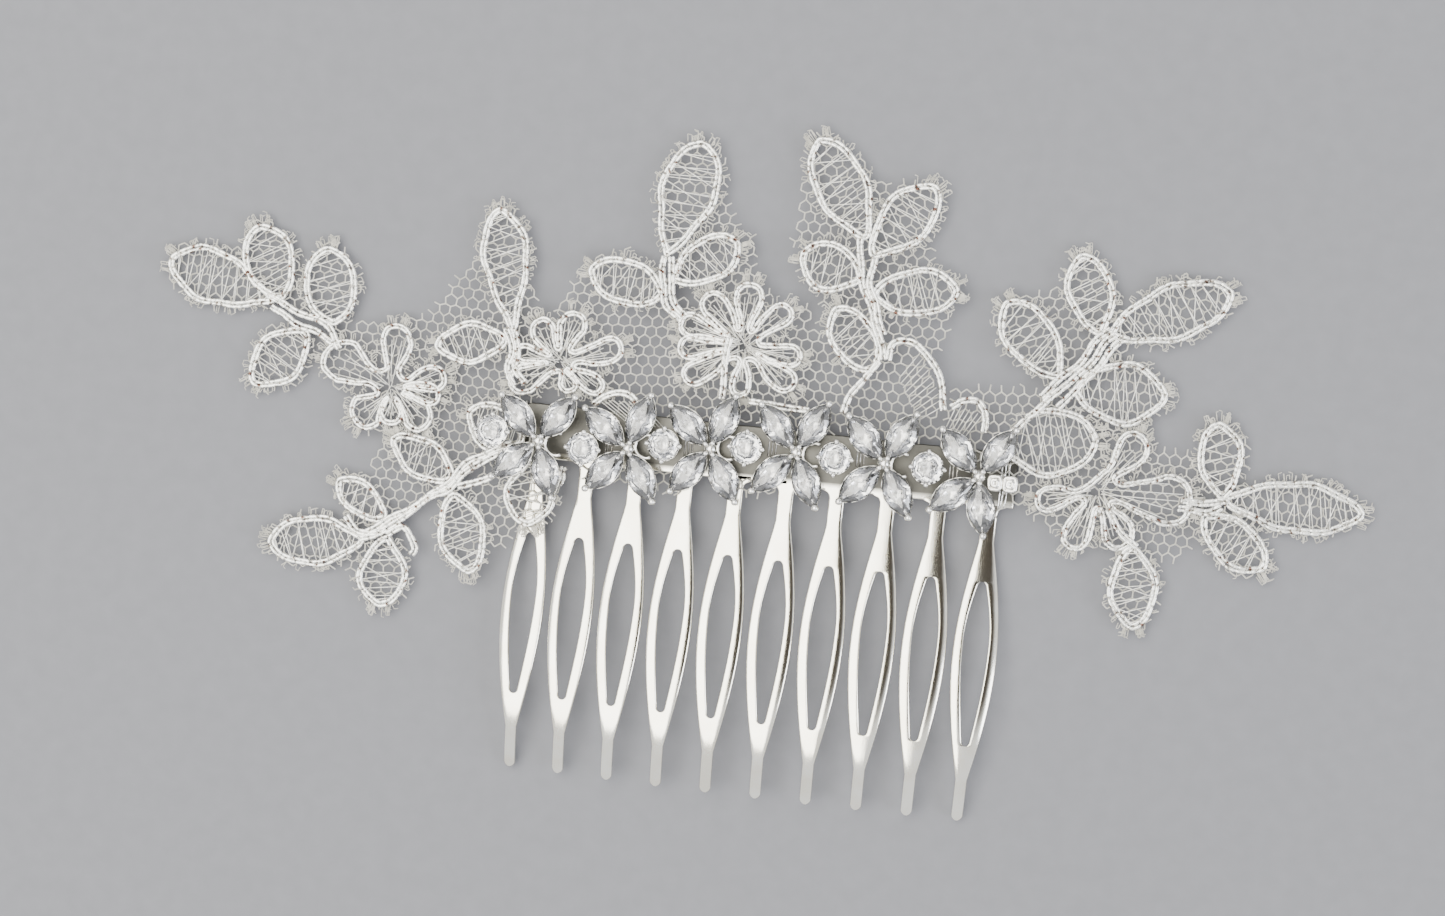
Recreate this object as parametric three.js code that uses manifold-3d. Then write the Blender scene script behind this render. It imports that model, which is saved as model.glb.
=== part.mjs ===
// Decorative hair comb: a stamped metal comb, a strip of crystals in prong settings, and a corded lace spray.
// Millimetres, +Z up out of the decorated face. X runs along the comb's bar and the tines point to -Y.
// The origin is the middle of the bar's flat back face.

import * as THREE from "three";
import { mergeVertices } from "three/addons/utils/BufferGeometryUtils.js";
import Module from "manifold-3d";

const wasm = await Module();
wasm.setup();

// ---- driving dimensions. Heights along Y are counted from the top of the tines' slots. ----

// stamped comb
const TINES = 10;
const PITCH = 5.43;
const SHEET = 0.6;
const BAR_LOW = 8;
const BAR_HIGH = 13.9;
const BAR_HALF = 26.9;
const BAR_CORNER = 1.2;
const NECK_HALF = 0.82;
const NECK_FILLET = 0.9;
const SHOULDER_Y = 4;
const WIDEST_Y = -8;
const WIDEST_HALF = 2.35;
const FINGER_Y = -21.2;
const FINGER_HALF = 0.62;
const TIP_Y = -25.9;
const SLOT_WIDEST_Y = -6.5;
const SLOT_LOW = -17.5;
const SLOT_WIDEST_HALF = 1.35;
const SLOT_END_HALF = 0.35;
const ARCH = 1.6; // rise of the bar's middle over its ends
const FLAT_HALF = PITCH / 2; // the bar is flat between its two middle tines
const BOW = 2.2; // rise of a tine's back over a straight line

// lace: a shallow dome that falls from the bar to its outer leaves
const LACE_LOW = 0.25;
const LACE_RISE = 1.75;
const LACE_REACH_X = 38;
const LACE_REACH_Y = 30;
const NET_THICK = 0.3;
const NET_MARGIN = 0.9;
const PLY_GAP = 0.3;
const CORD_THICK = 0.5;
const STEM_WIDTH = 1.6;
const LEAF_ROOT = 1; // how far a leaf's cords run on into its stem
const HEART_R = 1.1; // the knot of cord at a flower's middle
const CUT_GAP = 0.3;
const LIFT_END = 36; // how far out the lace is still lifted by the comb's end tine

// crystals
const STONE_SIDES = 8;
const MARQUISE_LONG = 2.5; // half length of the girdle
const MARQUISE_WIDE = 1.3;
const PETAL_REACH = 3.4; // flower centre to the middle of a marquise
const COLLET_LONG = 2.95;
const COLLET_WIDE = 1.4;
const COLLET_BORE = 0.745; // inner wall, as a share of the outer
const COLLET_HIGH = 0.9;
const HUB_R = 0.65;
const PRONG_R = 0.25;
const PRONG_REACH = 6.3;
const PRONG_HIGH = 1.75;
const ROUND_R = 1.45;
const CUP_R = 1.7;
const CUP_PRONG_REACH = 1.85;
const GIRDLE_Z = 1.4;
const STRIP_LOW = 2.6; // underside of the settings at the bar's middle
const STRIP_LIFT = 0.45; // how much higher they stand at the bar's ends
const LINK_WIRE = 0.25;
const LINK_HALF_HIGH = 0.9;

const SILVER = { color: 0xf2efe4, roughness: 0.12, metalness: 1 };
const CAST_SILVER = { color: 0xdcd8cd, roughness: 0.25, metalness: 1 };
const CRYSTAL = { color: 0xf4f3f1, roughness: 0.03, metalness: 0 };
const CORD = { color: 0xe9e7de, roughness: 0.45, metalness: 0.4 };
const TULLE = { color: 0xb9b6ab, roughness: 0.9, metalness: 0 };

// ---- helpers ----

const root = new THREE.Group();
const barMiddle = (BAR_LOW + BAR_HIGH) / 2;
root.position.set(0, -barMiddle, -ARCH);

function add(name, geometry, finish) {
  const mesh = new THREE.Mesh(geometry, new THREE.MeshStandardMaterial(finish));
  mesh.name = name;
  root.add(mesh);
  return mesh;
}

const radians = (degrees) => (degrees * Math.PI) / 180;

// Shares a geometry's vertices and drops the triangles that a lathe leaves flat on its axis.
function weld(geometry) {
  const bare = geometry.clone();
  bare.deleteAttribute("normal");
  bare.deleteAttribute("uv");
  const merged = mergeVertices(bare, 1e-4);
  const corners = merged.index.array;
  const kept = [];
  for (let i = 0; i < corners.length; i += 3) {
    const [a, b, c] = [corners[i], corners[i + 1], corners[i + 2]];
    if (a !== b && b !== c && c !== a) kept.push(a, b, c);
  }
  merged.setIndex(kept);
  return merged;
}

function toSolid(geometry) {
  const merged = weld(geometry);
  return new wasm.Manifold(
    new wasm.Mesh({
      numProp: 3,
      vertProperties: new Float32Array(merged.attributes.position.array),
      triVerts: new Uint32Array(merged.index.array),
    }),
  );
}

function toGeometry(solid) {
  const { vertProperties, triVerts } = solid.getMesh();
  const geometry = new THREE.BufferGeometry();
  geometry.setAttribute("position", new THREE.BufferAttribute(vertProperties, 3));
  geometry.setIndex(new THREE.BufferAttribute(triVerts, 1));
  return geometry;
}

const join = (geometries) => geometries.map(toSolid).reduce((whole, solid) => whole.add(solid));

// Lifts every vertex by a height that depends on where it stands in plan, so thickness stays the same.
function drape(geometry, height) {
  const place = geometry.attributes.position;
  for (let i = 0; i < place.count; i++) {
    place.setZ(i, place.getZ(i) + height(place.getX(i), place.getY(i)));
  }
  return geometry;
}

const plate = (shape, thick, curveSegments = 2) =>
  new THREE.ExtrudeGeometry(shape, { depth: thick, bevelEnabled: false, curveSegments });

function turned(profile, sides) {
  const points = profile.map(([radius, height]) => new THREE.Vector2(radius, height));
  return new THREE.LatheGeometry(points, sides).rotateX(Math.PI / 2);
}

function post(x, y, radius, low, high) {
  return new THREE.CylinderGeometry(radius, radius, high - low, 5)
    .rotateX(Math.PI / 2)
    .translate(x, y, (low + high) / 2);
}

// ---- stamped comb ----

// Height of the comb's underside: an arch along the bar, and tines that leave it level and bow to their tips.
function combHeight(x, y) {
  const out = Math.max(0, Math.abs(x) - FLAT_HALF) / (BAR_HALF - FLAT_HALF);
  const along = THREE.MathUtils.clamp((BAR_LOW - y) / (BAR_LOW - TIP_Y), 0, 1);
  return ARCH * (1 - Math.min(1, out * out)) + BOW * 6.75 * along * along * (1 - along);
}

// A quarter sine from one half-width to another between two heights.
function swell(y, endY, endHalf, wideY, wideHalf) {
  const share = THREE.MathUtils.clamp((y - endY) / (wideY - endY), 0, 1);
  return endHalf + (wideHalf - endHalf) * Math.sin((Math.PI / 2) * share);
}

const tineHalf = (y) =>
  y > WIDEST_Y
    ? swell(y, SHOULDER_Y, NECK_HALF, WIDEST_Y, WIDEST_HALF)
    : swell(y, FINGER_Y, FINGER_HALF, WIDEST_Y, WIDEST_HALF);

const slotHalf = (y) =>
  y > SLOT_WIDEST_Y
    ? swell(y, 0, SLOT_END_HALF, SLOT_WIDEST_Y, SLOT_WIDEST_HALF)
    : swell(y, SLOT_LOW, SLOT_END_HALF, SLOT_WIDEST_Y, SLOT_WIDEST_HALF);

function makeComb() {
  const tineStations = [SHOULDER_Y, 1, -3, WIDEST_Y, -13, -17, FINGER_Y];
  const slotStations = [-2, SLOT_WIDEST_Y, -11, -15, SLOT_LOW + SLOT_END_HALF];
  const centres = Array.from({ length: TINES }, (_, i) => (i - (TINES - 1) / 2) * PITCH);

  const outline = new THREE.Shape();
  outline.moveTo(-BAR_HALF, BAR_HIGH - BAR_CORNER);
  outline.lineTo(-BAR_HALF, BAR_LOW);
  for (const x of centres) {
    const flare = NECK_HALF + NECK_FILLET;
    outline.absarc(x - flare, BAR_LOW - NECK_FILLET, NECK_FILLET, Math.PI / 2, 0, true);
    for (const y of tineStations) outline.lineTo(x - tineHalf(y), y);
    outline.absarc(x, TIP_Y + FINGER_HALF, FINGER_HALF, Math.PI, 2 * Math.PI, false);
    for (const y of [...tineStations].reverse()) outline.lineTo(x + tineHalf(y), y);
    outline.absarc(x + flare, BAR_LOW - NECK_FILLET, NECK_FILLET, Math.PI, Math.PI / 2, true);
  }
  outline.lineTo(BAR_HALF, BAR_LOW);
  outline.absarc(BAR_HALF - BAR_CORNER, BAR_HIGH - BAR_CORNER, BAR_CORNER, 0, Math.PI / 2, false);
  for (const x of [...centres].reverse()) outline.lineTo(x, BAR_HIGH);
  outline.absarc(-BAR_HALF + BAR_CORNER, BAR_HIGH - BAR_CORNER, BAR_CORNER, Math.PI / 2, Math.PI, false);

  for (const x of centres) {
    const slot = new THREE.Path();
    slot.absarc(x, -SLOT_END_HALF, SLOT_END_HALF, 0, Math.PI, false);
    for (const y of slotStations) slot.lineTo(x - slotHalf(y), y);
    slot.absarc(x, SLOT_LOW + SLOT_END_HALF, SLOT_END_HALF, Math.PI, 2 * Math.PI, false);
    for (const y of [...slotStations].reverse()) slot.lineTo(x + slotHalf(y), y);
    outline.holes.push(slot);
  }

  // The bar's flat middle is cut free and bent apart from the rest, so that its back stays one plane.
  const flatZone = wasm.Manifold.cube([2 * FLAT_HALF, BAR_HIGH, 2 * SHEET]).translate([-FLAT_HALF, BAR_LOW, -SHEET / 2]);
  const blank = toSolid(plate(outline, SHEET));
  const pieces = [blank.intersect(flatZone), blank.subtract(flatZone)];
  add("comb", toGeometry(join(pieces.map((piece) => drape(toGeometry(piece), combHeight)))), SILVER);
}

// ---- crystal strip: round stones and four-petal flowers in turn ----

// centre of each flower, and the way its four petals point, in degrees from +X
const FLOWERS = [
  { at: [-24.2, 10.0], petals: [133, 54, 223, -70] },
  { at: [-14.5, 10.2], petals: [142, 71, 229, -59] },
  { at: [-5.7, 11.1], petals: [138, 69, 232, -59] },
  { at: [3.4, 11.7], petals: [131, 61, 227, -65] },
  { at: [12.8, 11.5], petals: [132, 62, 226, -60] },
  { at: [22.8, 11.2], petals: [133, 57, 220, -80] },
];
const ROUNDS = [
  [-29.2, 10.6],
  [-19.3, 9.7],
  [-10.7, 11.0],
  [-1.9, 11.6],
  [7.6, 11.5],
  [17.4, 11.5],
];
const PETAL_NAMES = ["upper_left", "upper_right", "lower_left", "lower_right"];

const stripHeight = (x) => STRIP_LOW + STRIP_LIFT * (x / BAR_HALF) ** 2;

// half section of a cut stone, in shares of its girdle and in mm up from it
const CUT = [[0, -1], [0.12, -1], [1, -0.05], [1, 0.05], [0.55, 0.5], [0, 0.5]];

// Presses a piece turned at unit radius into a marquise, which is pointed at both ends of X.
function squeeze(geometry, long, wide) {
  const place = geometry.attributes.position;
  for (let i = 0; i < place.count; i++) {
    const [x, y] = [place.getX(i), place.getY(i)];
    const sine = y / Math.max(Math.hypot(x, y), 1e-9);
    place.setXY(i, x * long, y * Math.abs(sine) * wide);
  }
  return geometry;
}

const atPetal = (geometry, degrees, reach) => geometry.translate(reach, 0, 0).rotateZ(radians(degrees));

function makeFlower({ at: [x, y], petals }, number) {
  const low = stripHeight(x);
  const collet = [[COLLET_BORE, 0], [1, 0], [1, COLLET_HIGH], [COLLET_BORE, COLLET_HIGH], [COLLET_BORE, 0]];
  const parts = [post(0, 0, HUB_R, 0, COLLET_HIGH + 0.3)];
  petals.forEach((degrees, i) => {
    const wall = squeeze(turned(collet, STONE_SIDES), COLLET_LONG, COLLET_WIDE);
    parts.push(atPetal(wall, degrees, PETAL_REACH + 0.05));
    parts.push(atPetal(post(0, 0, PRONG_R, 0.2, PRONG_HIGH), degrees, PRONG_REACH));
    const stone = squeeze(turned(CUT, STONE_SIDES), MARQUISE_LONG, MARQUISE_WIDE);
    atPetal(stone, degrees, PETAL_REACH).translate(x, y, low + GIRDLE_Z);
    add(`marquise_${number}_${PETAL_NAMES[i]}`, weld(stone), CRYSTAL);
  });
  add(`flower_setting_${number}`, toGeometry(join(parts)).translate(x, y, low), CAST_SILVER);
}

function makeRound([x, y], number) {
  const low = stripHeight(x);
  const cup = [[1.15, 0], [CUP_R, 0], [CUP_R, COLLET_HIGH], [1.35, COLLET_HIGH], [1.15, 0]];
  const parts = [turned(cup, STONE_SIDES)];
  for (const degrees of [90, -90, 0]) {
    parts.push(atPetal(post(0, 0, 0.2, 0.2, PRONG_HIGH), degrees, CUP_PRONG_REACH));
  }
  const stone = turned(CUT.map(([share, height]) => [share * ROUND_R, height]), STONE_SIDES);
  add(`round_setting_${number}`, toGeometry(join(parts)).translate(x, y, low), CAST_SILVER);
  add(`round_stone_${number}`, weld(stone.translate(x, y, low + GIRDLE_Z)), CRYSTAL);
}

// An oval wire ring between a flower's hub and the next round setting.
function makeLink([flowerX, flowerY], [roundX, roundY], number) {
  const start = flowerX + HUB_R + PLY_GAP;
  const end = roundX - CUP_R - PLY_GAP;
  const half = (end - start) / 2;
  const ring = new THREE.Shape().absellipse(0, 0, half, LINK_HALF_HIGH, 0, 2 * Math.PI);
  const hole = new THREE.Path();
  hole.absellipse(0, 0, half - LINK_WIRE, LINK_HALF_HIGH - LINK_WIRE, 0, 2 * Math.PI);
  ring.holes.push(hole);
  const x = (start + end) / 2;
  const geometry = plate(ring, LINK_WIRE * 2, 5).translate(x, (flowerY + roundY) / 2, stripHeight(x) + 0.2);
  add(`link_${number}`, weld(geometry), CAST_SILVER);
}

// The strip's last link: a flat bar with two square windows.
function makeEndLink([flowerX, flowerY]) {
  const [length, high, thick, rim, window] = [3.2, 1.2, 0.5, 0.25, 1.1];
  let bar = toSolid(new THREE.BoxGeometry(length, high, thick));
  for (const side of [-1, 1]) {
    const hole = new THREE.BoxGeometry(window, high - 2 * rim, 2 * thick);
    bar = bar.subtract(toSolid(hole.translate(side * (length / 2 - rim - window / 2), 0, 0)));
  }
  const x = flowerX + HUB_R + PLY_GAP + length / 2;
  const geometry = toGeometry(bar).translate(x, flowerY - 0.5, stripHeight(x) + 0.2 + thick / 2);
  add("end_link", geometry, CAST_SILVER);
}

// ---- lace ----

// Height of the net's underside: the dome, lifted where a leaf lies over the first tine.
function laceHeight(x, y) {
  const dome = Math.exp(-((x / LACE_REACH_X) ** 2) - ((y - barMiddle) / LACE_REACH_Y) ** 2);
  const free = LACE_LOW + LACE_RISE * dome;
  if (y > BAR_LOW) return free;
  const overComb = combHeight(x, y) + SHEET + 2 * PLY_GAP;
  return Math.max(free, overComb * (1 - THREE.MathUtils.smoothstep(Math.abs(x), BAR_HALF, LIFT_END)));
}

// Each leaf and petal is [base x, base y, tip x, tip y, width, belly], with belly the share of its length at
// which it is widest. A flower's petals share one base. A stem is the list of points it passes through.
const SPRAYS = [
  {
    name: "left_flower_spray",
    leaves: [
      [-55.5, 22, -67.5, 25.5, 5.6, 0.6],
      [-54.5, 22, -57.5, 30, 5.3, 0.5],
      [-48.5, 20, -50, 28.5, 5.5, 0.5],
      [-51.5, 19, -57, 13.5, 5.2, 0.5],
    ],
    flower: { at: [-41.5, 14], petals: [
      [-49, 17, 4.4], [-41, 20.5, 3.2], [-35.5, 16.5, 2.6], [-36, 14, 2], [-37, 10.5, 3.2], [-41, 10, 2.2],
      [-45.5, 9.5, 3.6],
    ] },
    stems: [[[-56, 22], [-52.5, 20.5], [-49, 19.5], [-44, 15]]],
  },
  {
    name: "left_lower_spray",
    leaves: [
      [-41, 0, -46.5, 3, 3.3, 0.5],
      [-43, -3, -53.5, -4.5, 5, 0.5],
      [-40.5, -2.5, -40.5, -10, 5, 0.6],
      [-33.5, 3.5, -31, -5, 4.8, 0.5],
      [-34, 5, -40.5, 8.5, 4, 0.5],
      [-26, 8, -24.5, 0.5, 5, 0.6],
      [-26.5, 10, -32.5, 12, 4.6, 0.5],
    ],
    stems: [
      [[-43.5, -3], [-40, -0.5], [-36, 2.5], [-30, 7], [-25.5, 8.5]],
      [[-40.5, -3], [-40, 0]],
      [[-28, 10.5], [-27, 9], [-26, 7]],
    ],
  },
  {
    name: "tall_leaf_spray",
    leaves: [[-28.5, 21, -31, 34.5, 4.8, 0.6], [-29, 20.5, -37, 19, 4, 0.5]],
    flower: { at: [-23, 18.5], petals: [
      [-26, 23, 2.5], [-22, 24, 2.8], [-16.5, 21, 2.6], [-18, 16.5, 1.8], [-21.5, 16, 1.8], [-28, 19.5, 1.8],
      [-28, 15.5, 3.2],
    ] },
    stems: [[[-29, 22], [-28, 19.5], [-28, 16.5], [-24, 18]]],
  },
  {
    name: "centre_flower_spray",
    leaves: [
      [-12.5, 31, -10, 43.5, 5.9, 0.6],
      [-11.5, 28.5, -5, 33.5, 4.5, 0.6],
      [-12.5, 27, -21, 29, 4.6, 0.5],
    ],
    flower: { at: [-3.5, 22], petals: [
      [-3.5, 29, 2.5], [-8, 27.5, 2.7], [1, 27, 2.3], [-10.5, 24, 2.4], [-10.5, 21.5, 2.4], [-9.5, 18, 2.6],
      [-5.5, 17, 1.6], [-3, 17, 1.6], [2.5, 21.5, 2.4], [2.5, 17, 2.6],
    ] },
    stems: [[[-12.5, 32], [-12.5, 28], [-10.5, 24.5], [-5, 22.5]]],
  },
  {
    name: "centre_leaf_spray",
    leaves: [
      [8, 35, 2, 45, 5.4, 0.5],
      [9.5, 33.5, 15, 41, 5.2, 0.6],
      [8.5, 30.5, 2, 32.5, 5, 0.6],
      [9.5, 29, 18.5, 30.5, 4.7, 0.5],
      [10.5, 21, 5.5, 27.5, 4.6, 0.5],
      [18.5, 16.5, 12, 24.5, 4.6, 0.6],
      [20.5, 15.5, 21, 19.5, 4.2, 0.6],
    ],
    stems: [
      [[8, 35.5], [8.5, 31], [10.5, 25.5], [11.5, 22], [8.5, 19], [8, 17]],
      [[18, 17], [21, 17]],
      [[11, 21], [13, 24]],
    ],
  },
  {
    name: "right_upper_spray",
    leaves: [
      [30, 22.5, 23.5, 30, 5, 0.6],
      [34, 27.5, 31, 35.5, 4.6, 0.6],
      [35, 27.5, 47.5, 33, 5.4, 0.6],
      [31.5, 21, 41.5, 21.5, 6.3, 0.5],
      [25, 14.5, 35, 15.5, 7.2, 0.5],
    ],
    stems: [[[35, 28], [33, 24.5], [30.5, 21.5], [28.5, 17.5]]],
  },
  {
    name: "right_flower_spray",
    leaves: [
      [48, 11.5, 47.5, 19.5, 4.3, 0.6],
      [48.5, 11.5, 63, 11.5, 5, 0.5],
      [46.5, 9.5, 53.5, 4.5, 4.3, 0.6],
      [40, 5.5, 40.5, -3, 4.7, 0.5],
    ],
    flower: { at: [35.5, 11], petals: [
      [39.5, 17, 3.2], [44.5, 11.5, 3], [44.5, 9.5, 2.4], [39.5, 5.5, 3], [33, 5, 2.8], [29.5, 8.5, 2.2],
    ] },
    stems: [[[43.5, 10.5], [46.5, 10.5], [49, 11.5]], [[38, 7], [40, 5]]],
  },
];

// plain net between the sprays, each an outline of corners
const WEBS = [
  [
    [-63.5, 28.5], [-60.5, 27.5], [-52, 24], [-46, 20.5], [-40, 22], [-35.5, 23.5], [-36, 17], [-44, 17],
    [-55, 22],
  ],
  [[-36, 17], [-30, 19], [-27.5, 14], [-28, 8], [-33, 4.5], [-40, 6.5], [-37, 12]],
  [[-41.5, 9.5], [-40, 5.5], [-34, 4], [-40, 0], [-43.5, 4]],
  [[-44, -2], [-41, -4], [-43.5, -7], [-47, -4.5]],
  [[-34, 28.5], [-36, 25.5], [-38, 22.5], [-34, 20.5], [-29, 21], [-30, 28]],
  [[-29.5, 29], [-27, 26.5], [-25, 23], [-23, 18], [-28.5, 20]],
  [[-33, 4], [-29, 7], [-26, 6.5], [-26.5, -2], [-30, -3]],
  [[-22, 28.5], [-23, 25], [-19.5, 14.2], [-4.5, 14.2], [-8, 25], [-13, 29], [-17, 31.5]],
  [[-9, 40.5], [-7, 38.5], [-5, 35], [-3.5, 34], [-2.5, 29], [-9, 27], [-12, 31]],
  [[-4, 14.4], [4, 14.4], [4, 20], [3.5, 27.5], [0.5, 27.5], [-3, 23]],
  [[1, 41], [0.5, 34], [4, 30], [4.5, 26.5], [10, 27.5], [9, 35]],
  [[8, 42], [10.5, 41], [15.5, 34.5], [17.5, 30], [18.5, 26], [17, 22.5], [10, 21.5], [8, 31]],
  [[4.5, 27], [3, 22], [3.5, 14.4], [18.5, 14.4], [17, 22], [10, 27]],
  [[18, 14.6], [19, 20], [24, 21], [30, 21], [34, 16], [25.5, 13.5], [23.5, 14.8]],
  [[26, 31], [29.5, 32], [33, 27], [30, 22], [27, 26]],
  [[34, 30], [37, 30], [38.5, 26.5], [36, 25], [31, 21.5], [32, 25]],
  [[32, 18.5], [40, 18.5], [41, 16], [45.5, 16], [46, 12], [36, 10], [33, 13]],
  [[25.8, 12], [29, 7.5], [33, 5], [38.5, 5.5], [36, 11], [33, 14]],
  [[38, 8.5], [46.5, 9.5], [46.5, 7], [44, 4], [40, 5]],
];

function polygon(corners) {
  return new THREE.Shape(corners.map(([x, y]) => new THREE.Vector2(x, y)));
}

// A pointed oval: half its width is a sine of the way along it, bent so that the belly is widest.
function leafShape([baseX, baseY, tipX, tipY, width, belly = 0.65], grow, steps) {
  const length = Math.hypot(tipX - baseX, tipY - baseY);
  const [ux, uy] = [(tipX - baseX) / length, (tipY - baseY) / length];
  const bend = Math.log(0.5) / Math.log(belly);
  const side = (sign) =>
    Array.from({ length: steps }, (_, i) => {
      const along = (i + 0.5) / steps;
      const half = sign * (width / 2 + grow) * Math.sin(Math.PI * along ** bend) ** 0.75;
      const reach = along * (length + 2 * grow) - grow;
      return [baseX + ux * reach - uy * half, baseY + uy * reach + ux * half];
    });
  const start = [baseX - ux * (grow + LEAF_ROOT), baseY - uy * (grow + LEAF_ROOT)];
  const end = [tipX + ux * grow, tipY + uy * grow];
  return polygon([start, ...side(1), end, ...side(-1).reverse()]);
}

// A band of even width along the points of a stem.
function stemShape(points, width) {
  const curve = new THREE.CatmullRomCurve3(points.map(([x, y]) => new THREE.Vector3(x, y, 0)));
  const steps = 2 * (points.length - 1);
  const side = (sign) =>
    Array.from({ length: steps + 1 }, (_, i) => {
      const at = curve.getPoint(i / steps);
      const way = curve.getTangent(i / steps);
      return [at.x - (sign * way.y * width) / 2, at.y + (sign * way.x * width) / 2];
    });
  return polygon([...side(1), ...side(-1).reverse()]);
}

function sprayShapes({ leaves, flower, stems }, grow, steps) {
  const heart = flower ? [new THREE.Shape().absarc(...flower.at, HEART_R + grow, 0, 2 * Math.PI)] : [];
  const petals = flower ? flower.petals.map(([x, y, width]) => [...flower.at, x, y, width]) : [];
  return [
    ...heart,
    ...leaves.map((leaf) => leafShape(leaf, grow, steps)),
    ...petals.map((petal) => leafShape(petal, grow, 2)),
    ...stems.map((stem) => stemShape(stem, STEM_WIDTH + grow)),
  ];
}

// Room for the crystals, which press the cords flat where they lie on them. The first flower stands clear.
function crystalRoom() {
  const parts = FLOWERS.slice(1).flatMap(({ at, petals }) =>
    petals.map((degrees) => {
      const reach = PRONG_REACH + PRONG_R + CUT_GAP;
      const tip = [at[0] + reach * Math.cos(radians(degrees)), at[1] + reach * Math.sin(radians(degrees))];
      const petal = leafShape([...at, ...tip, 2 * COLLET_WIDE + 2 * CUT_GAP, 0.55], 0, 4);
      return plate(petal, 2 * CORD_THICK).translate(0, 0, -CORD_THICK / 2);
    }),
  );
  return join(parts);
}

function makeSprays() {
  const room = crystalRoom();
  for (const spray of SPRAYS) {
    const whole = join(sprayShapes(spray, 0, 4).map((shape) => plate(shape, CORD_THICK)));
    const solid = largest(whole.subtract(room));
    const geometry = toGeometry(solid).translate(0, 0, NET_THICK + PLY_GAP);
    add(spray.name, drape(geometry, laceHeight), CORD);
  }
}

function largest(solid) {
  return solid.decompose().reduce((best, part) => (part.volume() > best.volume() ? part : best));
}

// The tulle ground, cut into four panels at its waists.
function makeNet() {
  const shapes = [...SPRAYS.flatMap((spray) => sprayShapes(spray, NET_MARGIN, 3)), ...WEBS.map(polygon)];
  const whole = join(shapes.map((shape) => plate(shape, NET_THICK)));
  const edges = [-80, -35.2, -1.5, 22, 80];
  ["net_left", "net_mid_left", "net_mid_right", "net_right"].forEach((name, i) => {
    const [low, high] = [edges[i] + CUT_GAP / 2, edges[i + 1] - CUT_GAP / 2];
    const window = new THREE.BoxGeometry(high - low, 120, 4).translate((low + high) / 2, 0, 0);
    const panel = largest(whole.intersect(toSolid(window)));
    add(name, drape(toGeometry(panel), laceHeight), TULLE);
  });
}

makeComb();
FLOWERS.forEach((flower, i) => makeFlower(flower, i + 1));
ROUNDS.forEach((at, i) => makeRound(at, i + 1));
ROUNDS.slice(1).forEach((at, i) => makeLink(FLOWERS[i].at, at, i + 1));
makeEndLink(FLOWERS[FLOWERS.length - 1].at);
makeSprays();
makeNet();

export default root;
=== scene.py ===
"""Decorative hair comb: stamped comb, strip of prong-set crystals, and corded lace on tulle.

Shapes are worked out in millimetres in the maker's drawing, where y = 0 is the top of the tines' slots and
z = 0 is the underside of the bar's ends. publish() moves them into the row frame, in metres.
"""

import math

import bmesh
import bpy
import numpy as np
from mathutils import Euler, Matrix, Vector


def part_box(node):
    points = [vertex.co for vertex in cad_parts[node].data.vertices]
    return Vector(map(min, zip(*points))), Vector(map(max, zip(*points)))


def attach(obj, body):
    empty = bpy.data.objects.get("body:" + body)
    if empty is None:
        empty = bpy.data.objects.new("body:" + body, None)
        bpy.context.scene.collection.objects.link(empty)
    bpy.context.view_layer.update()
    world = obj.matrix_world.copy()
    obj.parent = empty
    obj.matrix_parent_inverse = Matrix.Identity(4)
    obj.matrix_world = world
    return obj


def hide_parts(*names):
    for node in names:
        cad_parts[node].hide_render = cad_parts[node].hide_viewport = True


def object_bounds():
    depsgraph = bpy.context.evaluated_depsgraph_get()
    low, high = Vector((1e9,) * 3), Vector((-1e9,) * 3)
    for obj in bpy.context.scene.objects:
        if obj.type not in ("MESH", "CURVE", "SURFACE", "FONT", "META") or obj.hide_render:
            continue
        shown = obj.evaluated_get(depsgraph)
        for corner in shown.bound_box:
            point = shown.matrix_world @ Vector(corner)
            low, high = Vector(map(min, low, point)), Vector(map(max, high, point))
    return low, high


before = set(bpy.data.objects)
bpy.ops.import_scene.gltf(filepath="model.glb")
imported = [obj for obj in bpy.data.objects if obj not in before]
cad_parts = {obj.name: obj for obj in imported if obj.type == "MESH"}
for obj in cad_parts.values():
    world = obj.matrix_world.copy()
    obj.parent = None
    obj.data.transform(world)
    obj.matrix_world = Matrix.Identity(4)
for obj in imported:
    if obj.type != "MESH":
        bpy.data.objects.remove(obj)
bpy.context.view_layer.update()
dice = np.random.default_rng(11)

MM = 0.001
BAR_HIGH = 13.9  # top edge of the comb's bar in the drawing
comb_low, comb_high = (np.array(corner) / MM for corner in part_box("comb"))
DRAWING_ORIGIN = np.array([0.0, comb_high[1] - BAR_HIGH, comb_low[2]])

# ---- stamped comb ----
TINES = 10
PITCH = 5.43
SHEET = 0.6
EDGE_ROUND = 0.16
CROWN = 0.22  # how far a tine's widest edges fall below its middle
BAR_LOW = 8.0  # lower edge of the bar
BAR_HALF = 26.9
BAR_CORNER = 1.2
BAR_OVERLAP = 0.5  # how far a neck runs up into the bar
BAR_SHADE_FROM = DRAWING_ORIGIN[1] + BAR_LOW + 0.8  # where the painted shade on the bar begins: above it the bar's colour is dark grey, in place of the shade that the strip and lace cast on it
BAR_SHADE_FADE = 0.6  # and how far it fades out below that
NECK_HALF = 0.82
NECK_FILLET = 0.9
SHOULDER_Y = 4.0
WIDEST_Y = -8.0
WIDEST_HALF = 2.35
FINGER_Y = -21.2
FINGER_HALF = 0.62
TIP_Y = -25.9
SLOT_WIDEST_Y = -6.5
SLOT_LOW = -17.5
SLOT_WIDEST_HALF = 1.35
SLOT_END_HALF = 0.35
ARCH = 1.6  # rise of the bar's middle over its ends
BOW = 2.2  # rise of a tine's middle over its ends
WELD = 2e-6  # points of the comb nearer than this, in metres, become one

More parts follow.
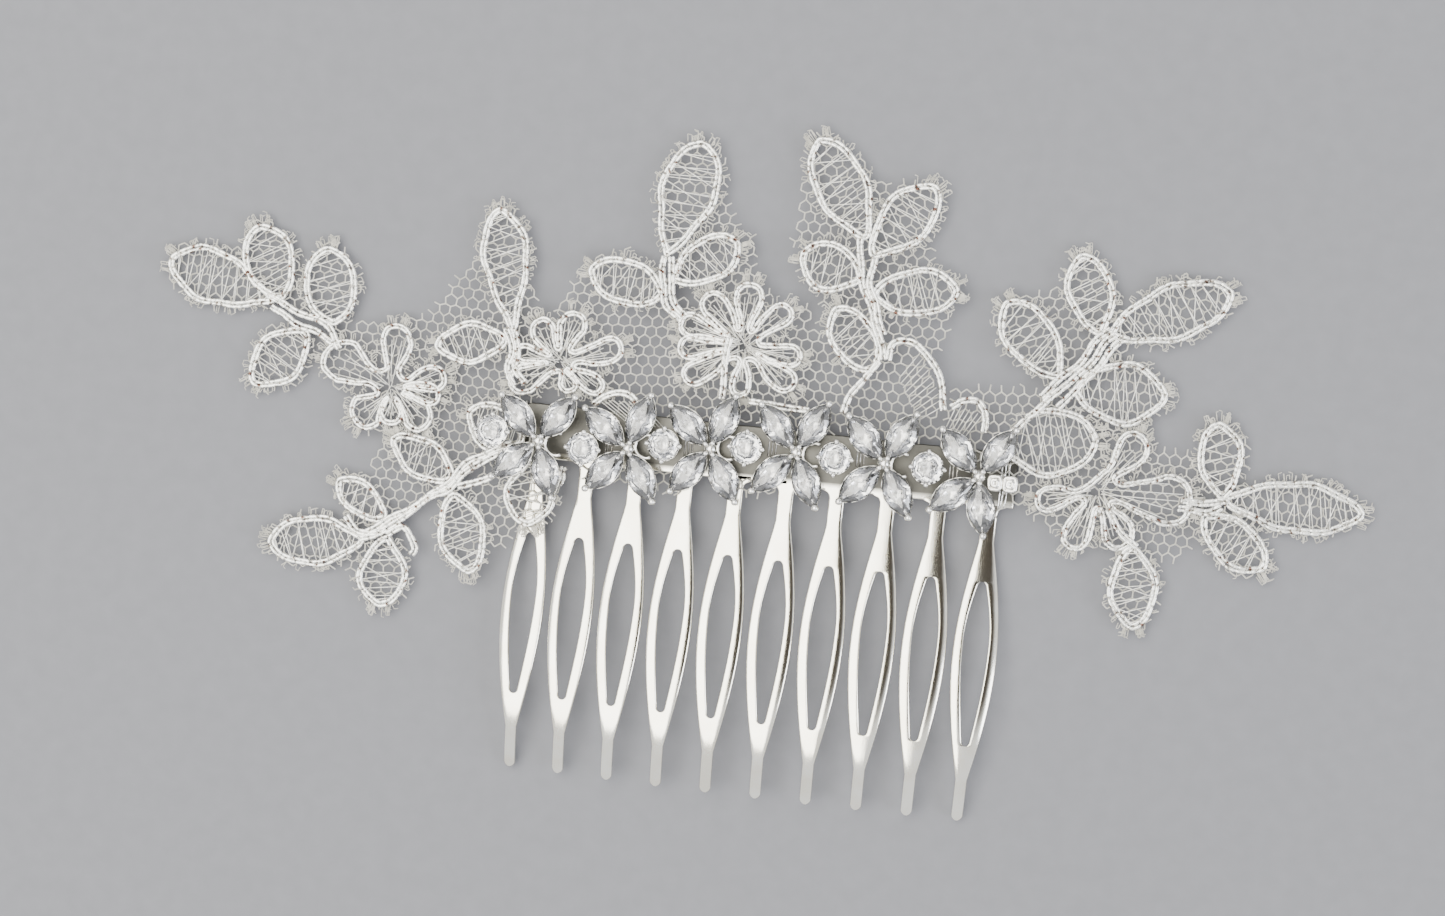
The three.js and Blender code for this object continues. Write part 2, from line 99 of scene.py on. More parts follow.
# ---- crystal strip ----
PETALS = ("upper_left", "upper_right", "lower_left", "lower_right")
PETAL_DEGREES = (
    (133, 54, 223, -70),
    (142, 71, 229, -59),
    (138, 69, 232, -59),
    (131, 61, 227, -65),
    (132, 62, 226, -60),
    (133, 57, 220, -80),
)
PETAL_REACH = 3.4  # from a flower's hub to the middle of a petal
HUB_R = 0.75
CLAW_OVER = 0.16  # height of a claw's bead over the girdle
TIP_CLAW = (1.2, 0.4)  # how far a claw's post starts below the girdle, and its bead's radius
ROOT_CLAW = (0.9, 0.3)
ROUND_CLAW = (1.1, 0.28)
CROWN_HIGH = 0.5  # a cut stone's height above its girdle
PAVILION_DEEP = 1.3  # and its depth below
MARQUISE_LONG = 2.85
MARQUISE_WIDE = 1.52
ROUND_R = 1.72
ROUNDS = 6
LINK_REACH = (1.15, 1.25)
LINK_WIRE = 0.2
LINK_OPEN = (62, 298)  # degrees at which a ring link's wire begins and ends
LINK_OUT = 1.9  # from the hub to the middle of the ring
END_LOOP_WIRE = 0.22
END_PAD_WIRE = 0.3
BINDING_WIRE = 0.09
BINDING_SHIFTS = (-0.35, 0.0, 0.4)
END_BINDING_X = 25.6

# ---- lace ----
LACE_LOW = 0.25
LACE_RISE = 1.75
LACE_REACH = (38.0, 30.0)
LIFT_END = 36.0  # where the net is back on its dome beyond the end tine
NET_PANELS = ("net_left", "net_mid_left", "net_mid_right", "net_right")
NET_CELL = 1.2
NET_THREAD = 0.08
OVER_SHEET = 0.2  # gap that the net keeps over the comb
NET_OVER = 0.12
HAIR_OVER = 0.15
LEAF_OVER = 0.34  # heights of the cords over the underside of the net
PETAL_OVER = 0.4
STEM_OVER = 0.45
CORD_STEP = 0.1  # distance between the rings of a strand
LEAF_STRAND = 0.2
PETAL_STRAND = 0.17
WRAP = 1.15  # length of one turn of foil
WRAP_GROOVE = 0.07
FILL_THREAD = 0.05


def stretch(low, high, share):
    """A smooth step: 0 below low, 1 above high, and 3s^2 - 2s^3 between them."""
    s = np.clip((share - low) / (high - low), 0, 1)
    return s * s * (3 - 2 * s)


def comb_height(x, y):
    """Underside of the comb: an arch along the bar, flat between the middle tines, and tines that bow to
    their tips. The bow is 6.75 s^2 (1 - s), which is 1 at its highest."""
    out = np.clip(np.abs(x) - PITCH / 2, 0, None) / (BAR_HALF - PITCH / 2)
    along = np.clip((BAR_LOW - y) / (BAR_LOW - TIP_Y), 0, 1)
    return ARCH * (1 - np.minimum(1, out**2)) + BOW * 6.75 * along**2 * (1 - along)


def lace_height(x, y):
    """Underside of the net: a dome that falls away from the bar, lifted where it lies over the comb's end tine."""
    middle = (BAR_LOW + BAR_HIGH) / 2
    free = LACE_LOW + LACE_RISE * np.exp(-((x / LACE_REACH[0]) ** 2) - ((y - middle) / LACE_REACH[1]) ** 2)
    over_comb = comb_height(x, y) + SHEET + OVER_SHEET
    lifted = np.maximum(free, over_comb * (1 - stretch(BAR_HALF, LIFT_END, np.abs(x))))
    return np.where(y > BAR_LOW, free, lifted)


# ---- meshes ----


def publish(name, parts, finish, replaces=()):
    """Joins parts, each a pair of points in drawing millimetres and a list of face arrays, into one object."""
    points = np.concatenate([part[0].reshape(-1, 3) for part in parts])
    counts = np.cumsum([0] + [part[0].reshape(-1, 3).shape[0] for part in parts])
    faces = [np.asarray(block) + first for first, part in zip(counts, parts) for block in part[1] if len(block)]
    sizes = np.concatenate([np.full(len(block), block.shape[1]) for block in faces])
    mesh = bpy.data.meshes.new(name)
    mesh.vertices.add(len(points))
    mesh.vertices.foreach_set("co", ((points + DRAWING_ORIGIN) * MM).ravel())
    mesh.loops.add(int(sizes.sum()))
    mesh.loops.foreach_set("vertex_index", np.concatenate([block.ravel() for block in faces]).astype(np.int32))
    mesh.polygons.add(len(sizes))
    mesh.polygons.foreach_set("loop_start", (np.cumsum(sizes) - sizes).astype(np.int32))
    mesh.update(calc_edges=True)
    mesh.materials.append(finish)
    piece = bpy.data.objects.new(name, mesh)
    bpy.context.scene.collection.objects.link(piece)
    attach(piece, "root")
    if replaces:
        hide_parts(*replaces)
    return piece


def shade(piece, degrees):
    """Smooth shading, with edges sharper than the angle left crisp."""
    piece.data.polygons.foreach_set("use_smooth", np.ones(len(piece.data.polygons), bool))
    piece.data.set_sharp_from_angle(angle=math.radians(degrees))


def grid_faces(rows, columns, wrap_rows=False, wrap_columns=True):
    """Quads between neighbouring points of a grid, whose rows and columns may close on themselves."""
    i, j = np.meshgrid(
        np.arange(rows if wrap_rows else rows - 1),
        np.arange(columns if wrap_columns else columns - 1),
        indexing="ij",
    )
    down, across = (i + 1) % rows, (j + 1) % columns
    corners = [i * columns + j, i * columns + across, down * columns + across, down * columns + j]
    return np.stack(corners, -1).reshape(-1, 4)


def fan(first, count, centre, outward):
    """Triangles from a ring of points to a centre."""
    ring = first + np.arange(count)
    after = first + (np.arange(count) + 1) % count
    hub = np.full(count, centre)
    return np.stack([ring, after, hub] if outward else [after, ring, hub], -1)


def tube(path, radius, sides=6, closed=False, flat=1.0, roll=0.0):
    """A round or flattened section carried along a path: each ring is the path's point plus radius times
    (cos a across the path, flat sin a above it), turned by roll. Open ends close in a point."""
    along = (np.roll(path, -1, 0) - np.roll(path, 1, 0)) if closed else np.gradient(path, axis=0)
    along /= np.linalg.norm(along, axis=1, keepdims=True)
    across = np.cross(along, [0, 0, 1.0])
    across /= np.maximum(np.linalg.norm(across, axis=1, keepdims=True), 1e-9)
    above = np.cross(across, along)
    angle = np.arange(sides) * 2 * np.pi / sides
    size = np.broadcast_to(radius, len(path))[:, None]
    wide, tall = size * np.cos(angle), size * flat * np.sin(angle)
    turn = np.broadcast_to(roll, len(path))[:, None]
    wide, tall = wide * np.cos(turn) - tall * np.sin(turn), wide * np.sin(turn) + tall * np.cos(turn)
    rings = path[:, None] + wide[..., None] * across[:, None] + tall[..., None] * above[:, None]
    faces = [grid_faces(len(path), sides, wrap_rows=closed)[:, ::-1]]
    points = rings.reshape(-1, 3)
    if not closed:
        reach = size[[0, -1]] * 0.6
        ends = path[[0, -1]] + along[[0, -1]] * reach * [[-1], [1]]
        last = len(points) - sides
        faces.append(fan(0, sides, len(points), outward=True))
        faces.append(fan(last, sides, len(points) + 1, outward=False))
        points = np.concatenate([points, ends])
    return points, faces


def threads(starts, ends, radius, capped=True):
    """Straight square-section threads between pairs of points, all at once."""
    along = ends - starts
    along /= np.maximum(np.linalg.norm(along, axis=1, keepdims=True), 1e-9)
    across = np.cross(along, [0, 0, 1.0])
    across /= np.maximum(np.linalg.norm(across, axis=1, keepdims=True), 1e-9)
    above = np.cross(across, along)
    size = np.broadcast_to(radius, len(starts))[:, None]
    corners = np.stack([across * size, above * size, -across * size, -above * size], 1)
    points = np.stack([starts[:, None] + corners, ends[:, None] + corners], 1)
    first = (np.arange(len(starts)) * 8)[:, None]
    quads = [[(k + 1) % 4, k, k + 4, (k + 1) % 4 + 4] for k in range(4)]
    if capped:
        quads += [[0, 1, 2, 3], [7, 6, 5, 4]]
    faces = np.concatenate([first + np.array(quad) for quad in quads])
    return points, [faces]


def ball(centre, radius, rows=6, columns=10):
    """A sphere: rings of radius sin a at height cos a, and a point at each pole."""
    polar = np.linspace(0, np.pi, rows + 2)[1:-1]
    turn = np.arange(columns) * 2 * np.pi / columns
    x = np.sin(polar)[:, None] * np.cos(turn)
    y = np.sin(polar)[:, None] * np.sin(turn)
    z = np.broadcast_to(np.cos(polar)[:, None], x.shape)
    points = np.stack([x, y, z], -1).reshape(-1, 3)
    points = np.concatenate([points, [[0, 0, 1.0], [0, 0, -1.0]]]) * radius + centre
    count = rows * columns
    faces = [
        grid_faces(rows, columns)[:, ::-1],
        fan(0, columns, count, outward=True),
        fan(count - columns, columns, count + 1, outward=False),
    ]
    return points, faces


def squeeze(points, long, wide):
    """Presses a piece of unit radius into a marquise: the point at radius r and angle a goes to
    (long r cos a, wide r sin a |sin a|^0.7)."""
    reach = np.maximum(np.hypot(points[:, 0], points[:, 1]), 1e-9)
    sine = (np.abs(points[:, 1]) / reach) ** 0.7
    return points * [long, wide, 1] * np.stack([np.ones_like(sine), sine, np.ones_like(sine)], 1)


def placed(part, centre, degrees=0.0):
    """Turns a part about Z and moves it to a centre."""
    points, faces = part
    angle = math.radians(degrees)
    turn = np.array([[math.cos(angle), -math.sin(angle)], [math.sin(angle), math.cos(angle)]])
    flat = points.reshape(-1, 3)
    return np.column_stack([flat[:, :2] @ turn.T, flat[:, 2]]) + centre, faces


def resample(path, step):
    """The same path with points an even step apart."""
    gaps = np.linalg.norm(np.diff(path, axis=0), axis=1)
    reach = np.concatenate([[0], np.cumsum(gaps)])
    stations = np.linspace(0, reach[-1], max(4, int(round(reach[-1] / step)) + 1))
    return np.stack([np.interp(stations, reach, path[:, k]) for k in range(path.shape[1])], 1)


def smooth_line(points, closed=False):
    """A Catmull-Rom curve through the points, which may close on itself."""
    p = np.array(points, float)
    ends = (p[-1:], p[:2]) if closed else ([2 * p[0] - p[1]], [2 * p[-1] - p[-2]])
    p = np.concatenate([ends[0], p, ends[1]])
    t = np.linspace(0, 1, 12, endpoint=False)[None, :, None]
    a, b, c, d = (p[k : len(p) - 3 + k][:, None] for k in range(4))
    curve = 0.5 * (2 * b + (c - a) * t + (2 * a - 5 * b + 4 * c - d) * t**2 + (3 * b - a - 3 * c + d) * t**3)
    curve = curve.reshape(-1, p.shape[1])
    return curve if closed else np.concatenate([curve, p[-2:-1]])


# ---- materials ----


def linear(code):
    """An sRGB hex colour as the linear values that shaders take."""
    channels = [int(code[i : i + 2], 16) / 255 for i in (1, 3, 5)]
    return tuple(c / 12.92 if c <= 0.04045 else ((c + 0.055) / 1.055) ** 2.4 for c in channels) + (1.0,)


def add_node(tree, kind, settings=(), **inputs):
    """Adds a shader node, sets its properties, and gives each input a value or a link from another node's
    output. An input goes by its name, with _ for a space, or as i0, i1 and so on by its number."""
    made = tree.nodes.new("ShaderNode" + kind)
    for key, value in dict(settings).items():
        setattr(made, key, value)
    for key, value in inputs.items():
        numbered = key[0] == "i" and key[1:].isdigit()
        socket = made.inputs[int(key[1:]) if numbered else key.replace("_", " ")]
        if isinstance(value, bpy.types.NodeSocket):
            tree.links.new(value, socket)
        else:
            socket.default_value = value
    return made


def new_finish(name):
    """A material with an empty shader tree, its output, and object coordinates turned to millimetres."""
    finish = bpy.data.materials.new(name)
    finish.use_nodes = True
    tree = finish.node_tree
    tree.nodes.clear()
    place = add_node(tree, "TexCoord").outputs["Object"]
    scaled = add_node(tree, "Mapping", Vector=place, Scale=(1 / MM, 1 / MM, 1 / MM)).outputs["Vector"]
    return finish, tree, scaled


def two_tone(tree, factor, stops):
    """A colour ramp over hex colours at the given positions."""
    ramp = add_node(tree, "ValToRGB", Fac=factor)
    while len(ramp.color_ramp.elements) < len(stops):
        ramp.color_ramp.elements.new(0.5)
    for element, (position, code) in zip(ramp.color_ramp.elements, stops):
        element.position = position
        element.color = linear(code)
    return ramp.outputs["Color"]


def finish_with(finish, tree, **settings):
    """Puts a shader with the given settings on a material's output, and hands the material back."""
    shader = add_node(tree, "BsdfPrincipled", **settings)
    add_node(tree, "OutputMaterial", Surface=shader.outputs["BSDF"])
    return finish


def noise(tree, place, scale, detail, **settings):
    """Cloudy noise, with about as many clouds to the millimetre as the scale."""
    return add_node(tree, "TexNoise", Vector=place, Scale=scale, Detail=detail, **settings).outputs["Fac"]


def remap(tree, value, low, high, start=0.0, end=1.0):
    """Draws the part of a value between start and end out over low to high."""
    return add_node(tree, "MapRange", Value=value, i1=start, i2=end, i3=low, i4=high).outputs["Result"]


def relief(tree, height, strength, distance):
    """Fine bumps in the surface, from a height."""
    return add_node(tree, "Bump", Height=height, Strength=strength, Distance=distance).outputs["Normal"]


def nickel_plate():
    """Bright nickel plate on stamped steel: mirror gloss with faint tumbling scratches and a warm cast. On the upper
    bar the colour is a painted shade, dark grey in place of the shade that the strip and lace cast there, and the
    gloss there is satin."""
    finish, tree, place = new_finish("bright_nickel_plate")
    cloud = noise(tree, place, 0.35, 4.0)
    along = add_node(tree, "Mapping", Vector=place, Scale=(9.0, 0.6, 9.0)).outputs["Vector"]
    scratch = noise(tree, along, 1.0, 6.0, Roughness=0.7)
    gloss = remap(tree, scratch, 0.07, 0.17)
    bright = two_tone(tree, cloud, [(0.35, "#F6F1E2"), (0.65, "#FFFDF2")])
    # painted shade: dark grey for the upper bar, standing in for the shade under the strip and lace
    painted_bar_shade = two_tone(tree, cloud, [(0.35, "#504F4B"), (0.65, "#62615C")])
    height = add_node(tree, "SeparateXYZ", Vector=place).outputs["Y"]
    on_bar = remap(tree, height, 0.0, 1.0, BAR_SHADE_FROM - BAR_SHADE_FADE, BAR_SHADE_FROM)
    tone = add_node(tree, "Mix", {"data_type": "RGBA"}, i0=on_bar, i6=bright, i7=painted_bar_shade).outputs[2]
    satin = add_node(tree, "Mix", i0=on_bar, i2=gloss, i3=0.42).outputs[0]
    bump = relief(tree, scratch, 0.03, 0.0002)
    return finish_with(finish, tree, Base_Color=tone, Metallic=1.0, Roughness=satin, Normal=bump)


def cast_rhodium():
    """Rhodium-plated casting: cool bright metal, slightly pebbled, darker where polish does not reach."""
    finish, tree, place = new_finish("rhodium_plated_casting")
    pebble = noise(tree, place, 3.0, 5.0)
    gloss = remap(tree, pebble, 0.1, 0.28)
    tone = two_tone(tree, pebble, [(0.3, "#D2CFC8"), (0.6, "#FAF9F5")])
    bump = relief(tree, pebble, 0.12, 0.0001)
    return finish_with(finish, tree, Base_Color=tone, Metallic=1.0, Roughness=gloss, Normal=bump)


def cut_zirconia():
    """Cut cubic zirconia: hard, glossy and almost clear, with a higher index than glass, and a little white scattered
    from its facets. Its colour holds painted dark reflections: small random cells turn grey, in place of facets that
    throw their light away from the eye."""
    finish, tree, place = new_finish("cut_cubic_zirconia")
    facet = add_node(tree, "TexVoronoi", Vector=place, Scale=3.4).outputs["Color"]
    flash = add_node(tree, "SeparateXYZ", Vector=facet).outputs["X"]
    # painted reflection: random cells of the colour turn grey, for facets that mirror something dark
    tone = two_tone(tree, flash, [(0.0, "#FFFFFF"), (0.68, "#FFFFFF"), (0.78, "#C4C7CE"), (0.93, "#5E6068")])
    return finish_with(finish, tree, Base_Color=tone, Roughness=0.0, IOR=2.15, Transmission_Weight=0.96)


def foil_cord():
    """Couching cord wrapped in silver foil: bright metal in short turns, with thin dark gaps and a few rusty ones."""
    finish, tree, place = new_finish("silver_foil_cord")
    speck = noise(tree, place, 2.1, 1.5)
    tone = two_tone(tree, speck, [(0.28, "#5A3A30"), (0.33, "#77716A"), (0.41, "#D2CFC7"), (0.48, "#FFFFFA")])
    gloss = remap(tree, speck, 0.18, 0.34, 0.3, 0.7)
    bump = relief(tree, speck, 0.2, 0.0002)
    return finish_with(finish, tree, Base_Color=tone, Metallic=0.7, Roughness=gloss, Normal=bump)


def lurex_thread():
    """Fine metallic fill thread: pale and silky, with a soft sheen."""
    finish, tree, place = new_finish("lurex_fill_thread")
    speck = noise(tree, place, 2.5, 2.0)
    tone = two_tone(tree, speck, [(0.35, "#E9E6DC"), (0.6, "#FFFEF8")])
    gloss = remap(tree, speck, 0.3, 0.55)
    return finish_with(finish, tree, Base_Color=tone, Metallic=0.4, Roughness=gloss, Sheen_Weight=0.3)


def nylon_tulle():
    """Nylon tulle: a thin off-white thread, soft and without shine."""
    finish, tree, place = new_finish("nylon_tulle")
    speck = noise(tree, place, 0.8, 3.0)
    tone = two_tone(tree, speck, [(0.35, "#A9A69C"), (0.65, "#C6C3B9")])
    gloss = remap(tree, speck, 0.45, 0.7)
    return finish_with(finish, tree, Base_Color=tone, Roughness=gloss, Sheen_Weight=0.4)


NICKEL = nickel_plate()
RHODIUM = cast_rhodium()
ZIRCONIA = cut_zirconia()
FOIL = foil_cord()
LUREX = lurex_thread()
TULLE = nylon_tulle()

# ---- stamped comb ----


def swell(y, end_y, end_half, wide_y, wide_half):
    """A quarter sine from one half-width to another between two heights."""
    return end_half + (wide_half - end_half) * np.sin(np.pi / 2 * np.clip((y - end_y) / (wide_y - end_y), 0, 1))


def bulge(y, end, radius):
    """Half-width of a round end: a circle's chord, for y within a radius of the end."""
    depth = np.clip(np.abs(y - end), 0, radius)
    return np.sqrt(np.maximum(radius**2 - (radius - depth) ** 2, 0))


def tine_half(y):
    """Outer half-width of a tine: a fillet at the bar, a neck, a leaf-shaped body, and a round finger tip."""
    upper = swell(y, SHOULDER_Y, NECK_HALF, WIDEST_Y, WIDEST_HALF)
    lower = swell(y, FINGER_Y, FINGER_HALF, WIDEST_Y, WIDEST_HALF)
    rise = np.clip(y - (BAR_LOW - NECK_FILLET), 0, NECK_FILLET)
    flare = NECK_FILLET - np.sqrt(NECK_FILLET**2 - rise**2)
    body = np.where(y > WIDEST_Y, upper, lower) + flare
    tip = bulge(y, TIP_Y, FINGER_HALF)
    return np.where(y < TIP_Y + FINGER_HALF, np.minimum(tip, body), body)


def slot_half(y):
    """Half-width of a tine's slot, which has round ends; 0 outside it."""
    upper = swell(y, 0, SLOT_END_HALF, SLOT_WIDEST_Y, SLOT_WIDEST_HALF)
    lower = swell(y, SLOT_LOW, SLOT_END_HALF, SLOT_WIDEST_Y, SLOT_WIDEST_HALF)
    body = np.where(y > SLOT_WIDEST_Y, upper, lower)
    body = np.where(y > -SLOT_END_HALF, np.minimum(bulge(y, 0, SLOT_END_HALF), body), body)
    body = np.where(y < SLOT_LOW + SLOT_END_HALF, np.minimum(bulge(y, SLOT_LOW, SLOT_END_HALF), body), body)
    return np.where((y < 0) & (y > SLOT_LOW), body, 0)


def tine(centre):
    """One tine as two mirrored halves. Each half carries a rounded sheet section down the tine, from the slot's
    edge to the outer edge; above and below the slot the halves meet on the centre line."""
    round_end = np.array([0, 0.03, 0.12, 0.25, 0.35])
    y = np.concatenate([
        [BAR_LOW + BAR_OVERLAP], BAR_LOW - np.linspace(0, NECK_FILLET, 5), np.linspace(6, 0.5, 7), -round_end,
        np.linspace(-1, SLOT_LOW + 1, 22), SLOT_LOW + round_end[::-1], np.linspace(SLOT_LOW - 0.5, FINGER_Y, 6),
        np.linspace(FINGER_Y - 0.8, TIP_Y + FINGER_HALF, 5), TIP_Y + np.array([0.45, 0.28, 0.14, 0.05, 0.0]),
    ])
    inner, outer = slot_half(y), tine_half(y)
    room = (outer - inner) / 2
    outer_round = np.minimum(EDGE_ROUND, room)
    inner_round = np.minimum(EDGE_ROUND, room) * np.clip(inner / SLOT_END_HALF, 0, 1)
    quarter = np.linspace(0, np.pi / 2, 4)
    bend, lift = 1 - np.sin(quarter), 1 - np.cos(quarter)
    half = len(quarter)
    both = np.concatenate([bend, bend[::-1]])
    outer_round, inner_round, middle = outer_round[:, None], inner_round[:, None], ((inner + outer) / 2)[:, None]
    x = np.concatenate([middle, outer[:, None] - outer_round * both, middle, inner[:, None] + inner_round * both], 1)
    z = np.concatenate([
        0 * middle, outer_round * lift, SHEET - outer_round * lift[::-1],
        SHEET + 0 * middle, SHEET - inner_round * lift, inner_round * lift[::-1],
    ], 1)
    sections = x.shape[1]
    faces = grid_faces(len(y), sections)
    walls = np.arange(2 * half + 2, 4 * half + 1)
    in_slot = (inner > 0)[faces[:, 0] // sections] | (inner > 0)[faces[:, 3] // sections]
    inner_wall = np.isin(faces[:, 0] % sections, walls)
    faces = faces[in_slot | ~inner_wall]
    parts = []
    for side in (1, -1):
        rows = np.broadcast_to(y[:, None], x.shape)
        world_x = centre + side * x
        crown = CROWN * stretch(0, BAR_LOW - SHOULDER_Y, BAR_LOW - rows)
        height = comb_height(world_x, rows) + z - crown * (x / WIDEST_HALF) ** 2
        points = np.stack([world_x, rows, height], -1).reshape(-1, 3)
        cap = np.arange(sections)[None]
        parts.append((points, [faces[:, ::-side], cap[:, ::side]]))
    return parts


def bar():
    """The comb's bar: a rounded section in Y and Z carried along X, shortened at the upper corners."""
    inset = np.array([1, 0.6, 0.25, 0.0]) * EDGE_ROUND
    ends = BAR_HALF - np.array([0, 0.12, 0.45, 1.0]) * EDGE_ROUND
    inner = np.linspace(-BAR_HALF + 0.3, BAR_HALF - 0.3, 181)
    x = np.concatenate([-ends, inner, ends[::-1]])
    shrink = np.concatenate([inset, np.zeros(len(inner)), inset[::-1]])
    over = np.clip(np.abs(x) - (BAR_HALF - BAR_CORNER), 0, BAR_CORNER)
    top = BAR_HIGH - (BAR_CORNER - np.sqrt(BAR_CORNER**2 - over**2))
    corner = np.linspace(0, np.pi / 2, 4)
    reach = EDGE_ROUND * (1 - np.sin(corner))
    rise = EDGE_ROUND * (1 - np.cos(corner))
    low = np.broadcast_to(BAR_LOW, x.shape)
    y = np.concatenate([
        top[:, None] - reach, top[:, None] - reach[::-1], low[:, None] + reach, low[:, None] + reach[::-1]
    ], 1)
    z = np.concatenate([rise, SHEET - rise[::-1], SHEET - rise, rise[::-1]])
    z = np.broadcast_to(z, y.shape)
    y = np.clip(y, (low + shrink)[:, None], (top - shrink)[:, None])
    z = np.clip(z, shrink[:, None], SHEET - shrink[:, None])
    columns = y.shape[1]
    world_x = np.broadcast_to(x[:, None], y.shape)
    points = np.stack([world_x, y, z + comb_height(world_x, y)], -1).reshape(-1, 3)
    ring = np.arange(columns)
    caps = np.stack([ring[::-1], ring + (len(x) - 1) * columns])
    return points, [grid_faces(len(x), columns)[:, ::-1], caps]


def make_comb():
    """The bar and ten tines in one piece, with the points where they meet made one."""
    parts = [bar()]
    for i in range(TINES):
        parts += tine((i - (TINES - 1) / 2) * PITCH)
    piece = publish("stamped_comb", parts, NICKEL, ["comb"])
    work = bmesh.new()
    work.from_mesh(piece.data)
    bmesh.ops.remove_doubles(work, verts=work.verts, dist=WELD)
    bmesh.ops.recalc_face_normals(work, faces=work.faces)
    work.to_mesh(piece.data)
    work.free()
    shade(piece, 50)


# ---- crystal strip ----


def brilliant(table=0.44):
    """A cut stone of unit radius: table, eight stars, eight bezels and sixteen halves above the girdle, and
    sixteen halves and eight mains below it. Rings of points are joined by flat triangles, and a hair of unevenness
    in the rings makes neighbouring facets flash apart."""

    def ring(count, radius, height, shift=0.0):
        angle = (np.arange(count) + shift) * 2 * np.pi / count
        return np.stack([radius * np.cos(angle), radius * np.sin(angle), np.full(count, height)], 1)

    points = np.concatenate([
        ring(8, table, CROWN_HIGH), ring(8, 0.78, CROWN_HIGH * 0.62, 0.5), ring(16, 1, 0.04), ring(16, 1, -0.04),
        ring(8, 0.4, -0.72 * PAVILION_DEEP, 0.5), [[0, 0, -PAVILION_DEEP], [0, 0, CROWN_HIGH]],
    ])
    points[8:16] += dice.normal(0, 0.02, (8, 3))
    points[48:56] += dice.normal(0, 0.03, (8, 3))
    j = np.arange(8)
    after = (j + 1) % 8
    T, S, G, H, P = 0, 8, 16, 32, 48  # first point of each ring: table, stars, girdle's top and foot, pavilion
    even, odd, even_after = 2 * j, 2 * j + 1, (2 * j + 2) % 16
    culet, top = np.full(8, 56), np.full(8, 57)
    triangles = [
        (T + j, T + after, top), (T + after, T + j, S + j),
        (T + j, G + even, S + j), (T + after, S + j, G + even_after),
        (S + j, G + even, G + odd), (S + j, G + odd, G + even_after),
        (G + even, H + even, H + odd), (G + even, H + odd, G + odd),
        (G + odd, H + odd, H + even_after), (G + odd, H + even_after, G + even_after),
        (P + j, H + odd, H + even), (P + j, H + even_after, H + odd),
        (P + j, H + even, culet), (H + even_after, P + j, culet),
    ]
    faces = np.concatenate([np.stack(corners, 1) for corners in triangles])
    return points, [faces]


def cup(rings, sides=32):
    """A turned shell of unit radius, given as (radius, height) pairs from its middle underneath to its middle
    inside."""
    turn = np.arange(sides) * 2 * np.pi / sides
    radius = np.array([r for r, _ in rings[1:-1]])[:, None]
    height = np.array([h for _, h in rings[1:-1]])[:, None]
    height = np.broadcast_to(height, (len(radius), sides))
    points = np.stack([radius * np.cos(turn), radius * np.sin(turn), height], -1)
    points = np.concatenate([points.reshape(-1, 3), [[0, 0, rings[0][1]], [0, 0, rings[-1][1]]]])
    count = len(radius) * sides
    faces = [
        grid_faces(len(radius), sides),
        fan(0, sides, count, outward=False),
        fan(count - sides, sides, count + 1, outward=True),
    ]
    return points, faces


def prong(spot, claw, over=CLAW_OVER):
    """A wire post with a bead on its end, at a spot on a stone's girdle."""
    (x, y, girdle), (drop, bead) = spot, claw
    low, high = girdle - drop, girdle + over
    post = tube(np.array([[x, y, low], [x, y, (low + high) / 2], [x, y + 1e-4, high]]), bead * 0.6, sides=8)
    return [post, ball(np.array([x, y, high]), bead)]


def heading(degrees):
    """The level direction at an angle from X."""
    return np.array([math.cos(math.radians(degrees)), math.sin(math.radians(degrees)), 0])


def stone_centre(node):
    """Centre and girdle height of a stone, in the drawing, from its solid's box."""
    low, high = (np.array(corner) / MM - DRAWING_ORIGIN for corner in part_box(node))
    return np.array([(low[0] + high[0]) / 2, (low[1] + high[1]) / 2, high[2] - CROWN_HIGH])


# Shells under the stones, each as (share of the stone's radius, height from its girdle) pairs from the middle
# underneath round to the middle inside.
BASKET = (
    (0, -1.5), (0.32, -1.5), (0.62, -1.0), (0.97, -0.3), (1.0, -0.12), (0.93, -0.1), (0.9, -0.28), (0.5, -1.0),
    (0.14, -1.42), (0, -1.42),
)
ROUND_CUP = (
    (0, -1.5), (0.5, -1.5), (0.8, -0.8), (0.97, -0.3), (1.0, -0.12), (0.93, -0.1), (0.9, -0.28), (0.5, -1.0),
    (0.14, -1.42), (0, -1.42),
)


def make_flower(number, petals):
    """Four marquise stones in baskets round a hub, each with a claw at its tip and one at the hub."""
    centres = [stone_centre(f"marquise_{number}_{petal}") for petal in PETALS]
    ways = [heading(degrees) for degrees in petals]
    hub = np.mean([centre - PETAL_REACH * way for centre, way in zip(centres, ways)], axis=0)
    parts = [ball(hub - [0, 0, HUB_R], HUB_R)]
    for petal, centre, way, degrees in zip(PETALS, centres, ways, petals):
        points, faces = brilliant()
        stone = placed((squeeze(points, MARQUISE_LONG, MARQUISE_WIDE), faces), centre, degrees)
        name = f"marquise_{number}_{petal}"
        publish(f"cut_{name}", [stone], ZIRCONIA, [name])
        points, faces = cup(BASKET)
        parts.append(placed((squeeze(points, MARQUISE_LONG, MARQUISE_WIDE), faces), centre, degrees))
        parts += prong(centre + way * (MARQUISE_LONG - 0.02), TIP_CLAW)
        parts += prong(centre - way * (MARQUISE_LONG - 0.12), ROOT_CLAW)
    piece = publish(f"flower_basket_{number}", parts, RHODIUM, [f"flower_setting_{number}"])
    shade(piece, 40)
    return hub


